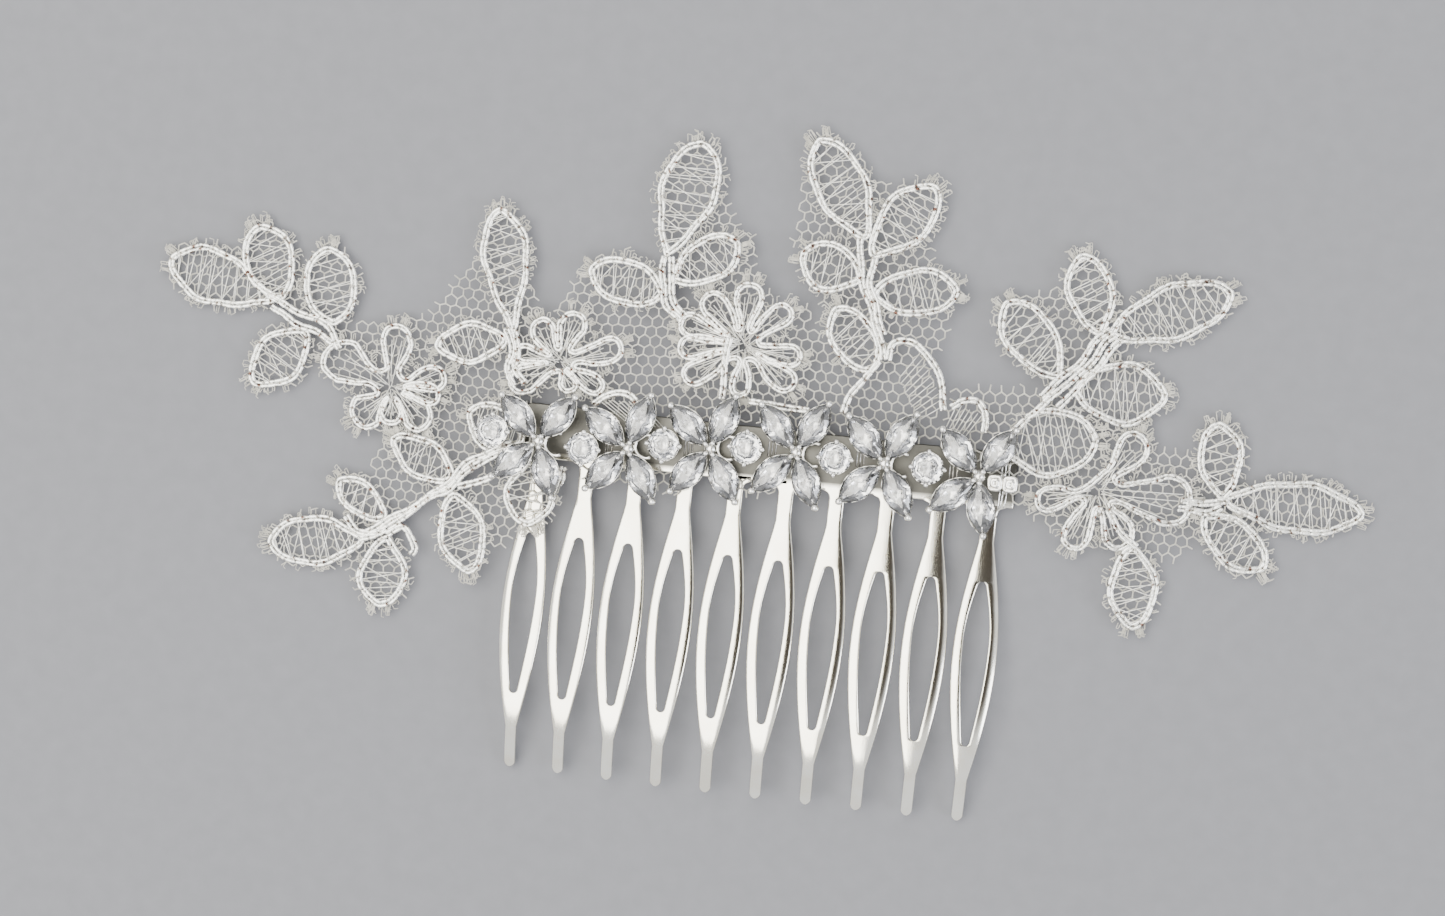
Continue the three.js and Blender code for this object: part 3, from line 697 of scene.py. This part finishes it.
def make_round(number):
    """A round stone in a cup with four claws."""
    centre = stone_centre(f"round_stone_{number}")
    points, faces = brilliant()
    stone = placed((points * [ROUND_R, ROUND_R, 1], faces), centre, 11.0 * number)
    publish(f"cut_round_stone_{number}", [stone], ZIRCONIA, [f"round_stone_{number}"])
    points, faces = cup(ROUND_CUP)
    parts = [placed((points * [ROUND_R, ROUND_R, 1], faces), centre)]
    for degrees in (0, 90, 180, 270):
        parts += prong(centre + heading(degrees) * (ROUND_R + 0.05), ROUND_CLAW, over=0.14)
    piece = publish(f"round_cup_{number}", parts, RHODIUM, [f"round_setting_{number}"])
    shade(piece, 40)
    return centre


def make_link(number, hub, cup_centre):
    """An open ring of wire: most of an ellipse from the hub round to the next cup."""
    turn = np.radians(np.linspace(*LINK_OPEN, 26))
    centre = np.array([hub[0] + LINK_OUT, (hub[1] + cup_centre[1]) / 2, hub[2] - HUB_R])
    path = centre + np.stack([LINK_REACH[0] * np.cos(turn), LINK_REACH[1] * np.sin(turn), 0 * turn], 1)
    wire = tube(path, LINK_WIRE, sides=8)
    piece = publish(f"ring_link_{number}", [wire], RHODIUM, [f"link_{number}"])
    shade(piece, 60)


def make_end_link():
    """The strip's last link: two soft-cornered square loops side by side, each filled with a raised pad."""
    low, high = (np.array(corner) / MM - DRAWING_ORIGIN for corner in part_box("end_link"))
    centre = (low + high) / 2
    long, wide = (high - low)[:2]
    turn = np.linspace(0, 2 * np.pi, 32, endpoint=False)
    square = np.stack([np.cos(turn), np.sin(turn)], 1)
    square /= (np.abs(square) ** 6).sum(1, keepdims=True) ** (1 / 6)
    reach = np.column_stack([square * [long / 4 - 0.2, wide / 2 + 0.08], np.zeros(len(turn))])
    parts = []
    for side in (-1, 1):
        middle = centre + [side * long / 4, 0, 0.1]
        parts.append(tube(middle + reach, END_LOOP_WIRE, sides=8, closed=True))
        parts.append(tube(middle + 0.45 * reach, END_PAD_WIRE, sides=8, closed=True))
    shade(publish("square_end_link", parts, RHODIUM, ["end_link"]), 60)


def make_bindings(spots):
    """Fine wire wound round the bar beside each setting: flattened loops that lean a little along the bar. One
    more run of wire crosses the last flower's lower right petal."""
    turn = np.linspace(0, 2 * np.pi, 40, endpoint=False)
    reach = np.sign(np.cos(turn)) * np.abs(np.cos(turn)) ** 0.4
    lift = np.sign(np.sin(turn)) * np.abs(np.sin(turn)) ** 0.4
    y = (BAR_LOW + BAR_HIGH) / 2 + ((BAR_HIGH - BAR_LOW) / 2 + 0.12) * reach
    parts = []
    for spot in spots:
        for shift in BINDING_SHIFTS:
            lean = dice.uniform(-0.5, 0.5)
            x = spot + shift + lean * np.cos(turn)
            z = comb_height(x, y) + SHEET / 2 + (SHEET / 2 + 0.1) * lift
            parts.append(tube(np.stack([x, y, z], 1), BINDING_WIRE, sides=5, closed=True))
    strip_top = stone_centre("marquise_6_lower_right")[2] + 0.75
    over_petal = [(22.9, 10.3, strip_top), (23.9, 9.3, strip_top), (24.8, 7.7, strip_top - 0.3), (25.2, 6.9, 2.2)]
    parts.append(tube(smooth_line(over_petal), 0.08, sides=5))
    shade(publish("binding_wire", parts, RHODIUM), 60)


# ---- lace ----

# Each leaf is (base x, base y, tip x, tip y, width, belly), and a flower is its heart and its petals, each (tip x,
# tip y, width), in mm. The belly is the share of a leaf's length at which it is widest. Stems are runs of points,
# and each fan is (heart, first end, last end, number of threads).
SPRAYS = {
    "left_flower_spray": {
        "leaves": [
            (-55.7, 22.0, -67.3, 25.4, 5.6, 0.62), (-54.8, 22.3, -57.8, 30.0, 5.3, 0.55),
            (-48.5, 20.2, -50.0, 28.3, 5.5, 0.52), (-51.6, 18.9, -56.8, 13.0, 5.0, 0.52),
        ],
        "flower": ((-41.4, 14.0), [
            (-49.0, 17.0, 4.4), (-41.2, 20.6, 3.2), (-35.6, 15.8, 2.4), (-36.0, 13.6, 2.0), (-37.0, 10.3, 3.0),
            (-41.0, 10.0, 2.2), (-45.0, 9.8, 3.4),
        ]),
        "stems": [
            [(-56.2, 22.6), (-52.9, 21.2), (-50.0, 20.3), (-48.6, 19.4), (-47.6, 17.6)],
            [(-55.6, 21.4), (-53.0, 20.0), (-50.2, 19.0), (-48.4, 18.2)],
        ],
    },
    "left_lower_spray": {
        "leaves": [
            (-33.8, 4.9, -40.5, 8.3, 3.9, 0.5), (-41.0, -0.2, -46.3, 3.2, 3.2, 0.5),
            (-43.2, -3.0, -53.4, -4.3, 5.0, 0.55), (-40.3, -2.5, -40.6, -9.8, 5.0, 0.58),
            (-33.3, 3.0, -30.8, -5.0, 4.8, 0.52), (-25.4, 7.5, -24.7, 0.9, 5.0, 0.58),
            (-26.5, 9.5, -32.4, 12.2, 4.6, 0.5),
        ],
        "stems": [
            [
                (-43.4, -3.0), (-40.0, -1.2), (-37.9, 0.8), (-35.7, 2.6), (-34.0, 3.6), (-31.8, 6.0), (-30.0, 7.4),
                (-27.6, 8.4),
            ],
            [(-43.0, -2.3), (-40.2, -0.4), (-36.8, 1.9), (-34.0, 4.4), (-31.9, 6.9), (-29.6, 8.2), (-27.4, 9.3)],
            [(-32.9, 3.9), (-30.7, 4.9), (-29.3, 5.6), (-27.4, 7.2)],
            [(-45.0, -0.5), (-43.6, -2.1), (-41.4, -2.1), (-40.7, -1.0)],
            [(-40.3, -2.2), (-38.5, -1.0), (-37.2, -3.0), (-37.5, -4.0)],
        ],
    },
    "tall_leaf_spray": {
        "leaves": [(-28.6, 21.3, -31.2, 34.2, 4.7, 0.66), (-29.4, 20.4, -36.6, 19.0, 4.0, 0.52)],
        "flower": ((-23.0, 18.6), [
            (-26.0, 22.6, 2.5), (-21.8, 23.9, 2.8), (-16.6, 20.8, 2.6), (-18.2, 16.0, 1.8), (-21.6, 15.7, 1.7),
            (-27.8, 19.2, 1.8), (-28.0, 15.6, 3.0),
        ]),
        "stems": [
            [(-29.2, 21.6), (-28.5, 19.4), (-28.7, 17.4), (-27.8, 15.6)],
            [(-28.4, 21.4), (-27.7, 19.2), (-27.9, 17.4), (-26.6, 15.8)],
        ],
    },
    "centre_flower_spray": {
        "leaves": [
            (-12.7, 31.2, -9.9, 43.4, 5.8, 0.62), (-11.7, 28.6, -5.2, 33.2, 4.4, 0.58),
            (-12.7, 26.9, -20.7, 28.8, 4.5, 0.52),
        ],
        "flower": ((-3.5, 22.3), [
            (-3.3, 29.0, 2.5), (-7.8, 27.3, 2.7), (0.9, 26.8, 2.2), (-10.4, 24.2, 2.2), (-10.2, 21.6, 2.2),
            (-9.2, 18.2, 2.4), (-3.2, 17.0, 1.7), (2.6, 21.6, 2.2), (2.2, 18.4, 2.2),
        ]),
        "stems": [
            [(-13.0, 31.0), (-12.8, 28.1), (-12.1, 25.8), (-10.6, 24.4)],
            [(-12.1, 31.0), (-11.9, 28.1), (-11.3, 26.2), (-9.9, 24.9)],
            [(-5.2, 16.5), (-5.2, 19.5), (-5.0, 23.0)],
            [(-2.2, 16.4), (1.0, 16.4), (4.2, 16.1)],
        ],
    },
    "centre_leaf_spray": {
        "leaves": [
            (8.2, 35.2, 2.3, 44.9, 5.2, 0.55), (9.3, 33.4, 15.0, 41.0, 5.0, 0.56),
            (8.1, 30.5, 1.9, 32.6, 4.9, 0.56), (9.7, 29.1, 18.5, 30.5, 4.6, 0.55),
            (10.6, 21.2, 5.9, 27.2, 4.4, 0.52),
        ],
        "stems": [
            [(7.75, 34.9), (8.3, 30.9), (9.4, 28.1), (10.8, 24.9), (11.5, 22.4)],
            [(9.4, 33.1), (9.3, 30.2), (10.2, 27.9), (11.2, 25.0)],
            [(11.0, 22.2), (9.7, 19.9), (8.3, 18.1), (7.75, 16.4)],
            [(11.9, 22.4), (12.4, 24.1), (14.0, 24.5), (15.4, 24.0), (16.9, 22.4), (17.9, 20.2), (18.5, 17.7)],
            [(19.2, 18.1), (20.4, 19.0), (21.9, 19.0), (22.75, 17.7), (22.9, 15.8)],
            [(-18.9, 14.4), (-17.8, 15.5), (-16.4, 16.0), (-15.0, 15.7), (-14.0, 14.7)],
            [(-21.4, 7.3), (-21.6, 6.4), (-21.8, 5.4)],
        ],
        "fans": [
            ((-14.6, 12.6), (-18.4, 15.0), (-14.0, 15.2), 9), ((13.4, 20.6), (15.4, 23.6), (18.4, 18.2), 10),
            ((18.9, 16.0), (19.8, 18.5), (22.5, 17.6), 7),
        ],
    },
    "right_upper_spray": {
        "leaves": [
            (30.2, 22.4, 23.8, 29.6, 4.9, 0.58), (33.9, 27.5, 31.1, 35.3, 4.5, 0.56),
            (35.0, 27.5, 47.0, 33.0, 5.4, 0.56), (31.9, 21.3, 41.2, 21.5, 6.2, 0.55),
            (25.2, 14.6, 34.7, 16.3, 6.8, 0.52),
        ],
        "stems": [
            [(35.7, 27.6), (34.3, 26.2), (32.9, 23.7), (30.7, 21.6), (29.5, 20.1), (27.2, 17.9)],
            [(34.9, 28.0), (33.5, 26.5), (31.9, 24.0), (29.9, 21.9), (28.4, 20.2)],
            [(36.2, 26.9), (34.9, 25.4), (33.6, 23.1), (31.6, 20.9), (30.4, 19.2)],
        ],
    },
    "right_flower_spray": {
        "leaves": [
            (48.3, 11.7, 47.3, 19.2, 4.2, 0.56), (48.8, 11.4, 62.8, 11.3, 5.0, 0.56),
            (46.8, 9.4, 53.4, 4.6, 4.3, 0.54), (39.8, 5.2, 40.6, -3.0, 4.6, 0.52),
        ],
        "flower": ((35.4, 10.9), [
            (39.5, 17.0, 3.0), (45.2, 10.6, 5.0), (38.9, 5.4, 3.0), (33.2, 4.8, 2.8), (29.2, 9.2, 2.2),
        ]),
        "stems": [
            [(44.2, 11.0), (46.7, 10.7), (49.0, 11.4)],
            [(44.0, 10.0), (46.6, 9.8), (48.4, 10.6)],
            [(36.6, 9.0), (38.4, 6.8), (40.0, 5.4)],
        ],
    },
}

# Plain net between the sprays, each an outline of corners.
WEBS = [
    [(-62, 28), (-60.5, 27.5), (-52, 24), (-46, 20.5), (-40, 22), (-35.5, 23.5), (-36, 17), (-44, 17), (-55, 22)],
    [(-36, 17), (-30, 19), (-27.5, 14), (-28, 8), (-33, 4.5), (-40, 6.5), (-37, 12)],
    [(-41.5, 9.5), (-40, 5.5), (-34, 4), (-40, 0), (-43.5, 4)],
    [(-44, -2), (-41, -4), (-43.5, -7), (-47, -4.5)],
    [(-34, 28.5), (-36, 25.5), (-38, 22.5), (-34, 20.5), (-29, 21), (-30, 28)],
    [(-29.5, 29), (-27, 26.5), (-25, 23), (-23, 18), (-28.5, 20)],
    [(-33, 4), (-29, 7), (-26, 6.5), (-26.5, -2), (-30, -3)],
    [(-28, 16), (-22, 28.5), (-23, 25), (-19.5, 15.5), (-26, 15.5)],
    [(-22, 28.5), (-23, 25), (-19.5, 14.2), (-4.5, 14.2), (-8, 25), (-13, 29), (-17, 31.5)],
    [(-9, 40.5), (-7, 38.5), (-5, 35), (-3.5, 34), (-2.5, 29), (-9, 27), (-12, 31)],
    [(-5, 14.2), (4, 14.2), (4, 20), (3.5, 27.5), (0.5, 27.5), (-3, 23)],
    [(1, 41), (0.5, 34), (4, 30), (4.5, 26.5), (10, 27.5), (9, 35)],
    [(8, 42), (10.5, 41), (15.5, 34.5), (17.5, 30), (18.5, 26), (17, 22.5), (10, 21.5), (8, 31)],
    [(4.5, 27), (3, 22), (3.5, 14.2), (18.5, 14.2), (17, 22), (10, 27)],
    [(18, 14.2), (19, 20), (24, 21), (30, 21), (34, 16), (30.5, 8), (27, 8.4), (22.5, 12.2)],
    [(26, 31), (29.5, 32), (33, 27), (30, 22), (27, 26)],
    [(34, 30), (37, 30), (38.5, 26.5), (36, 25), (31, 21.5), (32, 25)],
    [(32, 18.5), (40, 18.5), (41, 16), (45.5, 16), (46, 12), (36, 10), (33, 13)],
    [(27.6, 12), (29, 7.5), (33, 5), (38.5, 5.5), (36, 11), (33, 14)],
    [(38, 8.5), (46.5, 9.5), (46.5, 7), (44, 4), (40, 5)],
    [(-20, 8.4), (-19, 6.4), (-16, 5.9), (-12.5, 6.3), (-9, 5.7), (-6.5, 8.4)],
    [(-3.5, 8.4), (-3, 6.9), (0.5, 6.6), (2.5, 8.4)],
]
NET_MARGIN = 0.9  # net left round each leaf and petal
TIP_HAIRS = 16  # extra cut ends at the tip of each leaf
HAIR = 0.05  # half the thickness of a cut end
RAYS = 5  # threads in each petal
# Sets of threads over a leaf: how far apart they are, and how far each one slants towards the tip.
FILL_SETS = ((1.35, 0.7), (1.35, 1.1), (2.1, -1.6))


def leaf_edge(leaf, share, side, grow=0.0):
    """A point on a leaf's edge: half its width is (sin(pi s^k))^0.62, with k set so that the belly is widest."""
    base, tip = np.array(leaf[:2]), np.array(leaf[2:4])
    length = np.linalg.norm(tip - base)
    way = (tip - base) / length
    bend = math.log(0.5) / math.log(leaf[5])
    half = side * (leaf[4] / 2 + grow) * np.maximum(np.sin(np.pi * share**bend), 0) ** 0.62
    reach = share * (length + 2 * grow) - grow
    return base + reach[..., None] * way + half[..., None] * np.array([-way[1], way[0]])


def leaf_outline(leaf, grow=0.0, steps=24):
    """The closed edge of a leaf, from its base up one side and down the other."""
    share = (1 - np.cos(np.linspace(0, np.pi, steps))) / 2
    up, down = leaf_edge(leaf, share, 1, grow), leaf_edge(leaf, share, -1, grow)
    return np.concatenate([up, down[-2:0:-1]])


def petal_leaves(flower):
    """A flower's petals as narrow leaves that start a little way out from its heart."""
    (x, y), petals = flower
    made = []
    for tip_x, tip_y, width in petals:
        away = np.array([tip_x - x, tip_y - y])
        start = np.array([x, y]) + away * (1.2 / np.linalg.norm(away))
        made.append((start[0], start[1], tip_x, tip_y, width, 0.66))
    return made


def lifted(path, over):
    """A flat path laid on the lace at a height over the net."""
    return np.column_stack([path, lace_height(path[:, 0], path[:, 1]) + over])


def foil_strands(path, closed, over=LEAF_OVER, strand=LEAF_STRAND):
    """Two flattened strands side by side along a path, each a strand's radius to one side of it, with a slow sway.
    Each turn of foil is tilted its own way, and the radius narrows by half, as exp(-(d / groove)^2), where one
    turn ends and the next begins."""
    loop = np.concatenate([path, path[:1]]) if closed else path
    even = resample(loop, CORD_STEP)
    even = even[:-1] if closed else even
    along = (np.roll(even, -1, 0) - np.roll(even, 1, 0)) if closed else np.gradient(even, axis=0)
    along /= np.linalg.norm(along, axis=1, keepdims=True)
    across = np.stack([along[:, 1], -along[:, 0]], 1)
    length = len(even) * CORD_STEP
    wraps = max(2, round(length / WRAP))
    station = np.arange(len(even)) / len(even)
    base = lifted(even, over)
    wander = 0.1 * np.sin(2 * np.pi * (max(1, round(length / 5)) * station + dice.uniform()))
    parts = []
    for side in (-1, 1):
        phase = dice.uniform(0, 2 * np.pi)
        sway = np.sin(2 * np.pi * max(1, round(length / 7)) * station + phase)
        route = base.copy()
        route[:, :2] += across * (side * strand * (1 + 0.12 * sway) + wander)[:, None]
        route[:, 2] += 0.12 * strand * side * sway
        turn = wraps * station + dice.uniform(0, 1)
        gap = np.abs(turn - np.round(turn)) * length / wraps
        groove = 1 - 0.48 * np.exp(-((gap / WRAP_GROOVE) ** 2))
        tilt = 0.3 * np.sin(7.3 * (np.round(turn + 0.5) % wraps) + phase)
        parts.append(tube(route, strand * groove, sides=8, closed=closed, flat=0.8, roll=tilt))
    return parts


def meander(flower):
    """One closed cord round a whole flower: out along one side of each petal, round its tip, back along the other
    side, and on near the heart to the next petal."""
    centre, petals = np.array(flower[0]), np.array(flower[1])
    away = petals[:, :2] - centre
    corners = []
    for k in np.argsort(np.arctan2(away[:, 1], away[:, 0])):
        reach, width = np.linalg.norm(away[k]), petals[k, 2]
        way = away[k] / reach
        aside = np.array([-way[1], way[0]])
        one_side = [
            (0.3 * reach, 0.2 * width), (0.6 * reach, 0.42 * width), (reach - 0.5 * width, 0.5 * width),
            (reach - 0.12 * width, 0.34 * width),
        ]
        for out, off in [(o, -f) for o, f in one_side] + [(reach, 0)] + one_side[::-1]:
            corners.append(centre + out * way + off * aside)
    return smooth_line(corners, closed=True)


def cross_threads(leaf):
    """Fill threads over a leaf, from edge to edge: close pairs that slant one way, and a slacker set that crosses
    them the other way."""
    length = math.hypot(leaf[2] - leaf[0], leaf[3] - leaf[1])
    starts, ends = [], []
    for pitch, slant in FILL_SETS:
        share = np.arange(0.1, 0.93, pitch / length)
        share = np.clip(share + dice.normal(0, 0.14 * pitch / length, len(share)), 0.06, 0.94)
        far = np.clip(share + slant / length + dice.normal(0, 0.25 / length, len(share)), 0.06, 0.96)
        starts.append(leaf_edge(leaf, share, 1))
        ends.append(leaf_edge(leaf, far, -1))
    return np.concatenate(starts), np.concatenate(ends)


def ray_threads(flower):
    """Threads that fan from a flower's heart into each petal."""
    (x, y), petals = flower
    starts, ends = [], []
    for tip_x, tip_y, width in petals:
        away = np.array([tip_x - x, tip_y - y])
        away_length = np.linalg.norm(away)
        way = away / away_length
        spread = np.linspace(-0.36, 0.36, RAYS) * width + dice.normal(0, 0.08, RAYS)
        reach = away_length * dice.uniform(0.7, 0.93, RAYS)
        heart = np.array([x, y]) + way * 0.5 + dice.normal(0, 0.35, (RAYS, 2))
        starts.append(heart)
        ends.append(np.array([x, y]) + reach[:, None] * way + spread[:, None] * np.array([-way[1], way[0]]))
    return np.concatenate(starts), np.concatenate(ends)


def whiskers(leaves, per_mm=1.5):
    """Cut cells of net round the leaves: each hair leaves a leaf's edge, bends across, and half of them come back
    towards it as a loop."""
    runs = []
    for leaf in leaves:
        length = math.hypot(leaf[2] - leaf[0], leaf[3] - leaf[1])
        around = int(length * 2 * per_mm)
        count = around + TIP_HAIRS
        share = np.concatenate([dice.uniform(0.08, 0.97, around), dice.uniform(0.95, 0.995, TIP_HAIRS)])
        side = dice.choice([-1.0, 1.0], count)
        root = leaf_edge(leaf, share, side, 0.3)
        out = leaf_edge(leaf, share, side, 1.2) - root
        out /= np.linalg.norm(out, axis=1, keepdims=True)
        beside = np.stack([-out[:, 1], out[:, 0]], 1) * dice.choice([-1.0, 1.0], count)[:, None]
        reach = (dice.uniform(0.3, 0.85, count) * np.where(share > 0.95, 1.5, 1))[:, None]
        knee = root + out * reach
        hook = knee + (beside + 0.3 * out) * dice.uniform(0.15, 0.45, count)[:, None]
        back = hook - out * reach * dice.choice([0.0, 0.9], count)[:, None] + 0.05 * beside
        runs.append(np.stack([root, knee, hook, back]))
    runs = np.concatenate(runs, axis=1)
    return runs[:-1].reshape(-1, 2), runs[1:].reshape(-1, 2)


def make_spray(name, spray):
    """A spray's cords, round its leaves and flower and along its stems, and the fine threads that fill them."""
    parts = []
    for leaf in spray["leaves"]:
        parts += foil_strands(leaf_outline(leaf), closed=True)
    if "flower" in spray:
        parts += foil_strands(meander(spray["flower"]), closed=True, over=PETAL_OVER, strand=PETAL_STRAND)
    for stem in spray["stems"]:
        parts += foil_strands(smooth_line(stem), closed=False, over=STEM_OVER)
    cords = publish(f"{name}_cords", parts, FOIL, [name])
    shade(cords, 60)

    runs = [cross_threads(leaf) for leaf in spray["leaves"]]
    if "flower" in spray:
        runs.append(ray_threads(spray["flower"]))
    for centre, first, last, count in spray.get("fans", []):
        across = np.linspace(0, 1, count)[:, None] * (np.array(last) - first)
        runs.append((np.array(centre) + across * 0.8, np.array(first) + across))
    starts, ends = (np.concatenate(side) for side in zip(*runs))
    over = dice.uniform(0.3, 0.5, len(starts))[:, None] * [0, 0, 1]
    fills = threads(lifted(starts, 0) + over, lifted(ends, 0) + over, FILL_THREAD)
    publish(f"{name}_fill_threads", [fills], LUREX)


def inside(points, corners):
    """True for points inside a polygon, by counting the edges that a level line to the right crosses."""
    x, y = points[:, :1], points[:, 1:]
    a = np.array(corners, float)
    b = np.roll(a, -1, 0)
    straddles = (a[:, 1] > y) != (b[:, 1] > y)
    rise = np.where(b[:, 1] == a[:, 1], 1e-9, b[:, 1] - a[:, 1])
    crossing = a[:, 0] + (y - a[:, 1]) * (b[:, 0] - a[:, 0]) / rise
    return (straddles & (x < crossing)).sum(1) % 2 == 1


def make_tulle():
    """Hexagonal net: each cell gives three of its six sides, so that no side is made twice. Corners drift a little
    from their places, and the sides whose middles fall outside the cut pattern are left out. Gives back the net,
    its cut ends, and its area in square millimetres."""
    leaves = [leaf for spray in SPRAYS.values() for leaf in spray["leaves"]]
    petals = [petal for spray in SPRAYS.values() if "flower" in spray for petal in petal_leaves(spray["flower"])]
    pattern = [leaf_outline(leaf, NET_MARGIN, 14) for leaf in leaves + petals] + WEBS
    rise = NET_CELL * math.sqrt(3) / 2
    rows, columns = np.meshgrid(np.arange(-16, 60), np.arange(-62, 62), indexing="ij")
    centre = np.stack([(columns + 0.5 * (rows % 2)) * NET_CELL, rows * rise], -1).reshape(-1, 1, 2)
    angle = np.radians(30 + 60 * np.arange(4))
    corners = centre + NET_CELL / math.sqrt(3) * np.stack([np.cos(angle), np.sin(angle)], 1)
    starts, ends = corners[:, :3].reshape(-1, 2), corners[:, 1:].reshape(-1, 2)

    def drift(p):
        slow = 0.35 * np.sin(p[:, ::-1] / [5.1, 6.7] + [0.4, 1.9])
        quick = 0.06 * np.sin(p * [91.7, 73.1] + p[:, ::-1] * 57.3)
        return p + (slow + quick)

    starts, ends = drift(starts), drift(ends)
    middles = (starts + ends) / 2 + dice.normal(0, 0.12, starts.shape)
    keep = np.any([inside(middles, outline) for outline in pattern], axis=0)
    sides = threads(lifted(starts[keep], NET_OVER), lifted(ends[keep], NET_OVER), NET_THREAD, capped=False)
    net = publish("tulle_ground", [sides], TULLE, NET_PANELS)
    roots, tips = whiskers(leaves + petals)
    hairs = threads(lifted(roots, HAIR_OVER), lifted(tips, HAIR_OVER), HAIR)
    fuzz = publish("cut_net_fuzz", [hairs], TULLE)
    area = keep.sum() / 3 * NET_CELL * rise
    return net, fuzz, area


make_comb()
hubs = [make_flower(i + 1, petals) for i, petals in enumerate(PETAL_DEGREES)]
cups = [make_round(i + 1) for i in range(ROUNDS)]
for i in range(ROUNDS - 1):
    make_link(i + 1, hubs[i], cups[i + 1])
make_end_link()
make_bindings([(hub[0] + centre[0]) / 2 for hub, centre in zip(hubs, cups)] + [END_BINDING_X])
for spray_name, spray in SPRAYS.items():
    make_spray(spray_name, spray)
tulle, fuzz, tulle_area = make_tulle()

# ---- room ----

FLOOR_GAP = 0.0002
FLOOR_SIZE = 3
# the darker patch of the room, right of overhead, that the right-hand arms of the tines reflect
SHADE_WAY = (0.32, 0.1, 0.94)
SHADE_EDGE = (math.cos(math.radians(22)), math.cos(math.radians(10)))
ROOM_STRENGTH = 1.5
CAMERA_PLACE = (0.01797, 0.01119, 0.2345)
CAMERA_DEGREES = (-2.34, 5.74, 5.86)
CAMERA_LENS = 54.8
CAMERA_SENSOR = 36

def make_floor():
    """A plain pale card under the object."""
    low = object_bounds()[0].z - FLOOR_GAP
    bpy.ops.mesh.primitive_plane_add(size=FLOOR_SIZE, location=(0, 0, low))
    floor = bpy.context.object
    floor.name = "floor"
    finish, tree, place = new_finish("pale_matt_card")
    grain = noise(tree, place, 0.5, 3.0)
    tone = two_tone(tree, grain, [(0.3, "#74757A"), (0.7, "#78797E")])
    floor.data.materials.append(finish_with(finish, tree, Base_Color=tone, Roughness=0.85))


def add_lamp(name, place, aim, size, watts, code):
    """A rectangular soft lamp at a place, in metres, facing an aim point."""
    lamp = bpy.data.lights.new(name, "AREA")
    lamp.shape = "RECTANGLE"
    lamp.size, lamp.size_y = size
    lamp.energy = watts
    lamp.color = linear(code)[:3]
    stand = bpy.data.objects.new(name, lamp)
    bpy.context.scene.collection.objects.link(stand)
    away = np.array(place) - np.array(aim)
    flat = math.hypot(away[0], away[1])
    stand.location = place
    stand.rotation_euler = (math.atan2(flat, away[2]), 0, math.atan2(away[0], -away[1]) if flat > 1e-6 else 0)


def make_lights():
    """A soft box overhead, a fill from the right, and a pale room with one darker patch."""
    add_lamp("overhead_softbox", (-0.26, 0.05, 0.62), (-0.26, 0.05, 0), (0.72, 0.9), 12.0, "#FFFCF2")
    add_lamp("right_fill", (0.75, -0.15, 0.45), (0, 0, 0), (0.3, 0.6), 5.0, "#F4F7FF")
    world = bpy.data.worlds.new("studio")
    world.use_nodes = True
    bpy.context.scene.world = world
    tree = world.node_tree
    way = add_node(tree, "TexCoord").outputs["Generated"]
    near = add_node(tree, "VectorMath", {"operation": "DOT_PRODUCT"}, i0=way, i1=SHADE_WAY).outputs["Value"]
    tone = two_tone(tree, remap(tree, near, 0.0, 1.0, *SHADE_EDGE), [(0.0, "#E2E3E6"), (1.0, "#38332E")])
    background = tree.nodes["Background"]
    tree.links.new(tone, background.inputs["Color"])
    background.inputs["Strength"].default_value = ROOM_STRENGTH


def make_camera():
    """The camera almost straight above, turned a little in the plane."""
    lens = bpy.data.cameras.new("camera")
    lens.sensor_width = CAMERA_SENSOR
    lens.lens = CAMERA_LENS
    lens.clip_start = 0.01
    camera = bpy.data.objects.new("camera", lens)
    bpy.context.scene.collection.objects.link(camera)
    camera.location = CAMERA_PLACE
    camera.rotation_euler = Euler([math.radians(a) for a in CAMERA_DEGREES])
    bpy.context.scene.camera = camera


make_floor()
make_lights()
make_camera()
